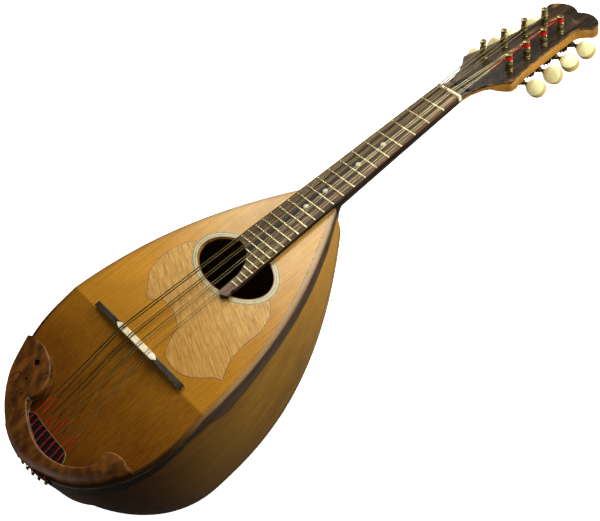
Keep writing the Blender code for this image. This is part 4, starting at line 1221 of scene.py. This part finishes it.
def make_head(posts):
    holes = [oval(POST_HOLE_RADIUS, POST_HOLE_RADIUS, 24, (x, u)) for x, u in posts]
    veneer = sheet(mirrored(head_outline(0.0030)), -VENEER, 0, holes)
    piece("head_veneer", veneer, "veneer", place=HEAD, bevel=0.0003,
          replaces=["headstock_face"])
    half = [(0.0176, 0.0300)] + [point for point in head_outline(0.004) if point[1] > 0.0330]
    core = sheet(mirrored(half), -HEAD_THICKNESS, -VENEER - 0.0001, holes)
    for vert in core.verts:
        if vert.co.z < -HEAD_THICKNESS / 2 and vert.co.y < 0.0445:
            vert.co.z += 0.0050 * ((0.0445 - vert.co.y) / 0.0145) ** 2
    piece("head_core", core, "maple", place=HEAD, bevel=0.0006)
    strip = block((-0.0112, 0.0117, 0.0001), (0.0112, 0.0147, 0.0013))
    bmesh.ops.subdivide_edges(strip, edges=strip.edges, cuts=6, use_grid_fill=True)
    for vert in strip.verts:
        vert.co.z += 0.00020 * math.sin(900 * vert.co.x) * (vert.co.z > 0.0007)
    piece("damper_cloth", strip, "cloth", place=HEAD, bevel=0.0003, replaces=["damper_strip"])


# Bridge

def make_bridge():
    base = TOP_Z + 0.0002
    half = BRIDGE_HALF_LENGTH
    slope = [(-half + 0.0010, 0.0026), (-half + 0.006, 0.0036), (-0.036, 0.0048), (-0.028, 0.0054)]
    rise = smooth_run(slope, 5)
    upper = [(-half, 0.0010), (-half, 0.0020)] + rise
    profile = upper + [(-x, z) for x, z in reversed(upper)]
    rows = []
    for wide in (-0.0028, 0.0028):
        rows.append([(x, BRIDGE_Y + wide * (1 - 0.25 * z / 0.0054), base + z) for x, z in profile])
    piece("bridge_ebony", closed_run(rows), "bridge", bevel=0.0005, replaces=["bridge"])
    piece("saddle_bone", saddle(base + 0.0040), "bone", replaces=["saddle"])


def saddle(low):
    """A bone strip that is bowed along its length, with rounded edges and a slot for each string."""
    corners = mm((-27.5, 0), (-24, 1.6), (-20, 2.3), (0, 2.4), (21.5, 2.3), (25, 1.5), (27.5, 0))
    plan = smooth_run(corners, 4)
    outline = plan + [(x, -y) for x, y in reversed(plan[1:-1])]
    bm = prism([(x, BRIDGE_Y + y) for x, y in outline], low, SADDLE_TOP_Z - 0.0002)
    for vert in bm.verts:
        if vert.co.z > 0:
            vert.co.z -= 0.0011 * (abs(vert.co.x) / 0.0275) ** 4
    bm.normal_update()
    sharp = [edge for edge in bm.edges if edge.calc_face_angle() > math.radians(35)]
    bmesh.ops.bevel(
        bm, geom=sharp, offset=0.00025, segments=3, profile=0.5, affect="EDGES", clamp_overlap=True
    )
    for index in range(8):
        x = string_places(index)[0]
        wide = STRING_RADII[index // 2] + 0.0002
        near = (x - wide, BRIDGE_Y - 0.004, SADDLE_TOP_Z - 0.0005)
        bm = carved(bm, block(near, (x + wide, BRIDGE_Y + 0.004, 0.006)))
    return bm


# Strings and tuning machines

def string_places(index):
    """(x at the bridge, x at the nut, side, post number from the nut) of string 0 to 7, bass to treble."""
    course = index // 2
    centre = (course - 1.5) / 1.5
    step = (index % 2 - 0.5) * COURSE_GAP
    side = -1 if index < 4 else 1
    post = index if index < 4 else 7 - index
    return centre * BRIDGE_STRING_SPREAD + step, centre * NUT_STRING_SPREAD + step * 0.85, side, post


def make_strings(posts):
    for index in range(8):
        at_bridge, at_nut, side, post = string_places(index)
        radius = STRING_RADII[index // 2]
        lift = 0.0002 + radius
        hitch = (index - 3.5) * PIN_SPACING
        rim = tail_point(hitch, HALF_WIDTH - 0.0008, 0)
        x, u = posts[post if side < 0 else post + 4]
        end = HOME.inverted() @ HEAD @ Vector((x - side * (0.0024 + radius), u - 0.0004, 0.0118))
        outside = HALF_WIDTH + 0.0015 + lift
        points = [
            tail_point(hitch, outside, PIN_Z), tail_point(hitch, outside, board_z(rim.y) - 0.0006),
            Vector((rim.x, rim.y, board_z(rim.y) + 0.0012 + lift)),
            Vector((at_bridge, BRIDGE_Y, SADDLE_TOP_Z + lift - 0.0004)),
            Vector((at_nut, SCALE_LENGTH + 0.0003, 0.0007 + lift)), end,
        ]
        look = "wound" if index < 4 else "plain"
        silk_end = 0.36 + 0.05 * math.sin(index * 2.1) - 0.012 * index
        silk = points[:3] + [points[2].lerp(points[3], silk_end)]
        bare = [points[2].lerp(points[3], silk_end - 0.01)] + points[3:]
        wire(f"string_{index + 1}_wire", bare, radius, look,
             replaces=[f"string_{index + 1}"])
        wire(f"string_{index + 1}_silk", silk, 0.00032 + 0.2 * radius, "silk")
        if side > 0:
            start = points[4].lerp(points[5], 1 - min(0.020 / (points[5] - points[4]).length, 1))
            wire(f"string_{index + 1}_head_silk", [start, points[5]], radius + 0.00016, "silk")


def coil(turns, radius, low, rise, start, per_turn=20):
    count = round(turns * per_turn)
    points = []
    for k in range(count + 1):
        angle = start + 2 * math.pi * k / per_turn
        points.append((radius * math.cos(angle), radius * math.sin(angle), low + rise * k / per_turn))
    return points


def post():
    """A turned post along Z: a knob, a slim neck for the wire, a collar and a seat for the gear."""
    end = WORM_W - GEAR_WIDTH / 2 - GAP
    seat = WORM_W + GEAR_WIDTH / 2 + GAP
    turned = mm(
        (0, 16.5), (2.2, 16.5), (2.7, 16.3), (2.9, 15.9), (2.9, 15.2), (2.7, 14.9), (2.2, 14.7), (2.1, 10.8),
        (2.4, 10.3), (3, 10), (3.1, 9.2), (2.8, 8.9), (2.9, 8), (3.2, 7.7), (3.3, 3), (3.6, 2.6), (3.6, 1.2),
        (3.3, 1), (3.6, 0.2), (2.6, 0.1)
    )
    foot = [
        (0.0026, seat), (0.0015, seat), (0.0015, end), (0.0025, end), (0.0024, end - 0.0006),
        (0.0018, end - 0.0010), (0, end - 0.0010)
    ]
    return lathe(turned + foot, 28)


def worm_shaft():
    """A turned shaft along Z, from inside its button through two bearings to its far end."""
    return lathe(mm(
        (0, 18.2), (1.6, 18.2), (1.7, 12.8), (2.4, 12.4), (2.6, 11.6), (2.2, 11), (1.6, 10.4), (1.5, 9.2),
        (1.9, 8.4), (2.5, 7.6), (2.6, 6.6), (2.2, 6), (1.4, 5.9), (1.4, 3.4), (2, 3.4), (2, -3.4), (1.4, -3.4),
        (1.4, -5.9), (2.2, -5.9), (2.2, -6.7), (0, -6.7)
    ), 24)


def worm_thread(turns=1.8, per_turn=24):
    """A right-hand thread about Z whose crest passes through z = 0 on +X."""
    corners = mm((1.7, -0.85), (3.6, -0.22), (3.6, 0.22), (1.7, 0.85))
    count = round(turns * per_turn)
    rows = []
    for k in range(count + 1):
        angle = 2 * math.pi * (k - count / 2) / per_turn
        rise = WORM_LEAD * angle / (2 * math.pi)
        rows.append([(r * math.cos(angle), r * math.sin(angle), z + rise) for r, z in corners])
    return closed_run(rows)


def button():
    """An oval button along Z: two domed faces that meet a rounded side in crisp edges."""
    half = [(0, 1.0), (0.35, 0.97), (0.66, 0.90), (0.86, 0.80), (0.96, 0.72), (0.99, 0.36), (1.0, 0.0)]
    bm = lathe(half + [(radius, -height) for radius, height in reversed(half[:-1])], 48)
    bmesh.ops.rotate(bm, verts=bm.verts, matrix=Matrix.Rotation(math.pi / 2, 3, "X"))
    for vert in bm.verts:
        x, y, z = vert.co
        broad = 1 + 0.05 * z
        vert.co = (0.0079 * x * broad, 0.0050 * y * broad, 0.0211 + 0.0083 * z)
    return bm


def make_tuners(joints):
    for name, side in SIDES:
        for number in range(1, 5):
            knob = joints[f"knob_{name}_{number}_turn"]
            winder = joints[f"winder_{name}_{number}_turn"]
            knob_body = f"knob_{name}_{number}"
            winder_body = f"winder_{name}_{number}"
            up = Vector(winder["axis"])
            out = Vector(knob["axis"])
            forward = up.cross(out) * side
            post_place = placed(winder["pos_m"], forward.cross(up), forward, up)
            worm_place = placed(knob["pos_m"], -up * side, forward, out)
            piece(f"{winder_body}_post", post(), "post", winder_body, post_place,
                  replaces=[f"post_{name}_{number}"])
            coil_look = "silk" if side > 0 else "plain"
            thick = 0.00042 if side > 0 else 0.00032
            winds = coil(4.2, 0.0022 + thick * 0.8, 0.0110, 0.00085, math.pi if side > 0 else 0.0)
            wire(f"{winder_body}_coil", winds, thick, coil_look, winder_body, post_place)
            assign(f"gear_{name}_{number}", "dark_brass")
            turned = worm_place @ Matrix.Rotation(math.pi / 2, 4, "Z")
            piece(f"{knob_body}_shaft", worm_shaft(), "shaft", knob_body, turned,
                  replaces=[f"worm_shaft_{name}_{number}"])
            piece(f"{knob_body}_thread", worm_thread(), "shaft", knob_body, turned)
            turn = Matrix.Rotation(side * math.radians((130, 142, 114, 128)[number - 1]), 4, "Z")
            piece(f"{knob_body}_button", button(), "button", knob_body, worm_place @ turn,
                  replaces=[f"button_{name}_{number}"], angle=36, bevel=0.00025)
        assign(f"tuner_plate_{name}", "dark_brass")


def placed(origin, x, y, z):
    """A place with its axes along x, y and z."""
    matrix = Matrix((x, y, z)).transposed().to_4x4()
    matrix.translation = Vector(origin)
    return matrix


def make_plate_screws(joints):
    """Slotted screws along each tuning plate: one at each end and one between each two machines."""
    profile = mm((0, -1), (1, -0.9), (1.6, -0.4), (1.8, 0), (1.8, 0.4), (0, 0.4))
    for name, side in SIDES:
        first = Vector(joints[f"winder_{name}_1_turn"]["pos_m"])
        last = Vector(joints[f"winder_{name}_4_turn"]["pos_m"])
        up = Vector(joints[f"winder_{name}_1_turn"]["axis"])
        along = (last - first).normalized()
        spacing = (last - first).length / 3
        across = along.cross(up)
        steps = [-0.0080] + [spacing * (k + 0.70) for k in range(3)] + [spacing * 3 + 0.0162]
        for number, step in enumerate(steps):
            spot = first + along * step - up * (HEAD_THICKNESS + 0.0011)
            screw = lathe(profile, 20)
            slot = block((-0.0030, -0.00022, -0.0020), (0.0030, 0.00022, -0.0006))
            bmesh.ops.rotate(slot, verts=slot.verts, matrix=Matrix.Rotation(chance.uniform(0, 3), 3, "Z"))
            piece(f"plate_screw_{name}_{number + 1}", carved(screw, slot), "shaft",
                  place=placed(spot, across, along, up))


def assign(node, look):
    """Gives a CAD node that stays visible its material."""
    slots = frame["nodes"][node].data.materials
    slots.clear()
    slots.append(LOOKS[look])


# Studio

def lamp(name, kind, watts, tint, place, target, **settings):
    """A light at a place, turned to its target."""
    light = bpy.data.lights.new(name, kind)
    light.energy = watts
    light.color = tint
    for key, value in settings.items():
        setattr(light, key, value)
    towards = (Vector(target) - Vector(place)).to_track_quat("-Z", "Y").to_matrix().to_4x4()
    linked(name, light, Matrix.Translation(place) @ towards)


def panel(name, place, target, size, watts, tint):
    """A soft rectangular light."""
    lamp(name, "AREA", watts, tint, place, target, shape="RECTANGLE", size=size[0], size_y=size[1])


def make_studio():
    bm = bmesh.new()
    bmesh.ops.create_grid(bm, x_segments=8, y_segments=8, size=6)
    mesh = meshed("floor", bm)
    mesh.materials.append(floor_paint())
    linked("floor", mesh, Matrix.Translation((0, 0, cad_box[0][2] - 0.0005)))
    world = bpy.data.worlds.new("studio")
    world.use_nodes = True
    nodes = world.node_tree.nodes
    backdrop = next(node for node in nodes if node.type == "BACKGROUND")
    backdrop.inputs["Color"].default_value = (1, 1, 1, 1)
    seen = nodes.new("ShaderNodeLightPath").outputs["Is Camera Ray"]
    strength = nodes.new("ShaderNodeMapRange")
    strength.inputs["To Min"].default_value = 0.07
    strength.inputs["To Max"].default_value = 1.0
    world.node_tree.links.new(seen, strength.inputs["Value"])
    world.node_tree.links.new(strength.outputs[0], backdrop.inputs["Strength"])
    bpy.context.scene.world = world
    middle = (0, 0.05, 0.13)
    warm = (1.0, 0.97, 0.92)
    panel("key", (-0.95, 0.66, 1.22), middle, (0.80, 0.60), 21, warm)
    panel("neck", (0.10, 1.35, 0.90), middle, (0.6, 0.6), 17, warm)
    panel("side", (0.90, 0.62, 0.42), (0, 0.16, 0.13), (0.5, 0.5), 13, (1.0, 0.98, 0.94))
    panel("tail", (-0.30, -1.20, 0.25), (0, -0.10, 0.08), (0.7, 0.4), 6, warm)
    buttons = HEAD @ Vector((0.045, 0.090, 0))
    lamp("head", "SPOT", 22, (1.0, 0.98, 0.92), (0.75, 0.02, 0.90), buttons, spot_size=math.radians(15),
         spot_blend=1.0, shadow_soft_size=0.10)


def make_camera():
    """The photograph's viewpoint, far enough away that the frets shorten towards the nut as they do there."""
    data = bpy.data.cameras.new("camera")
    data.sensor_width = 36
    data.lens = CAMERA_LENS
    forward = Vector(VIEW_DIRECTION).normalized()
    right = Vector(VIEW_RIGHT).normalized()
    place = placed(HOME @ Vector(CAMERA_SPOT), right, right.cross(forward), -forward)
    bpy.context.scene.camera = linked("camera", data, place)


def main():
    joints = {joint["name"]: joint for joint in frame["joints"]}
    posts = []
    for name, _ in SIDES:
        for number in range(1, 5):
            spot = HEAD.inverted() @ Vector(joints[f"winder_{name}_{number}_turn"]["pos_m"])
            posts.append((spot.x, spot.y))
    make_body()
    make_hand_rest()
    make_string_pad()
    make_clasp()
    make_bridge()
    make_fingerboard()
    make_nut()
    make_neck()
    make_head(posts)
    make_strings(posts)
    make_tuners(joints)
    make_plate_screws(joints)
    make_studio()
    make_camera()
    bpy.context.scene.view_settings.view_transform = "Standard"


main()
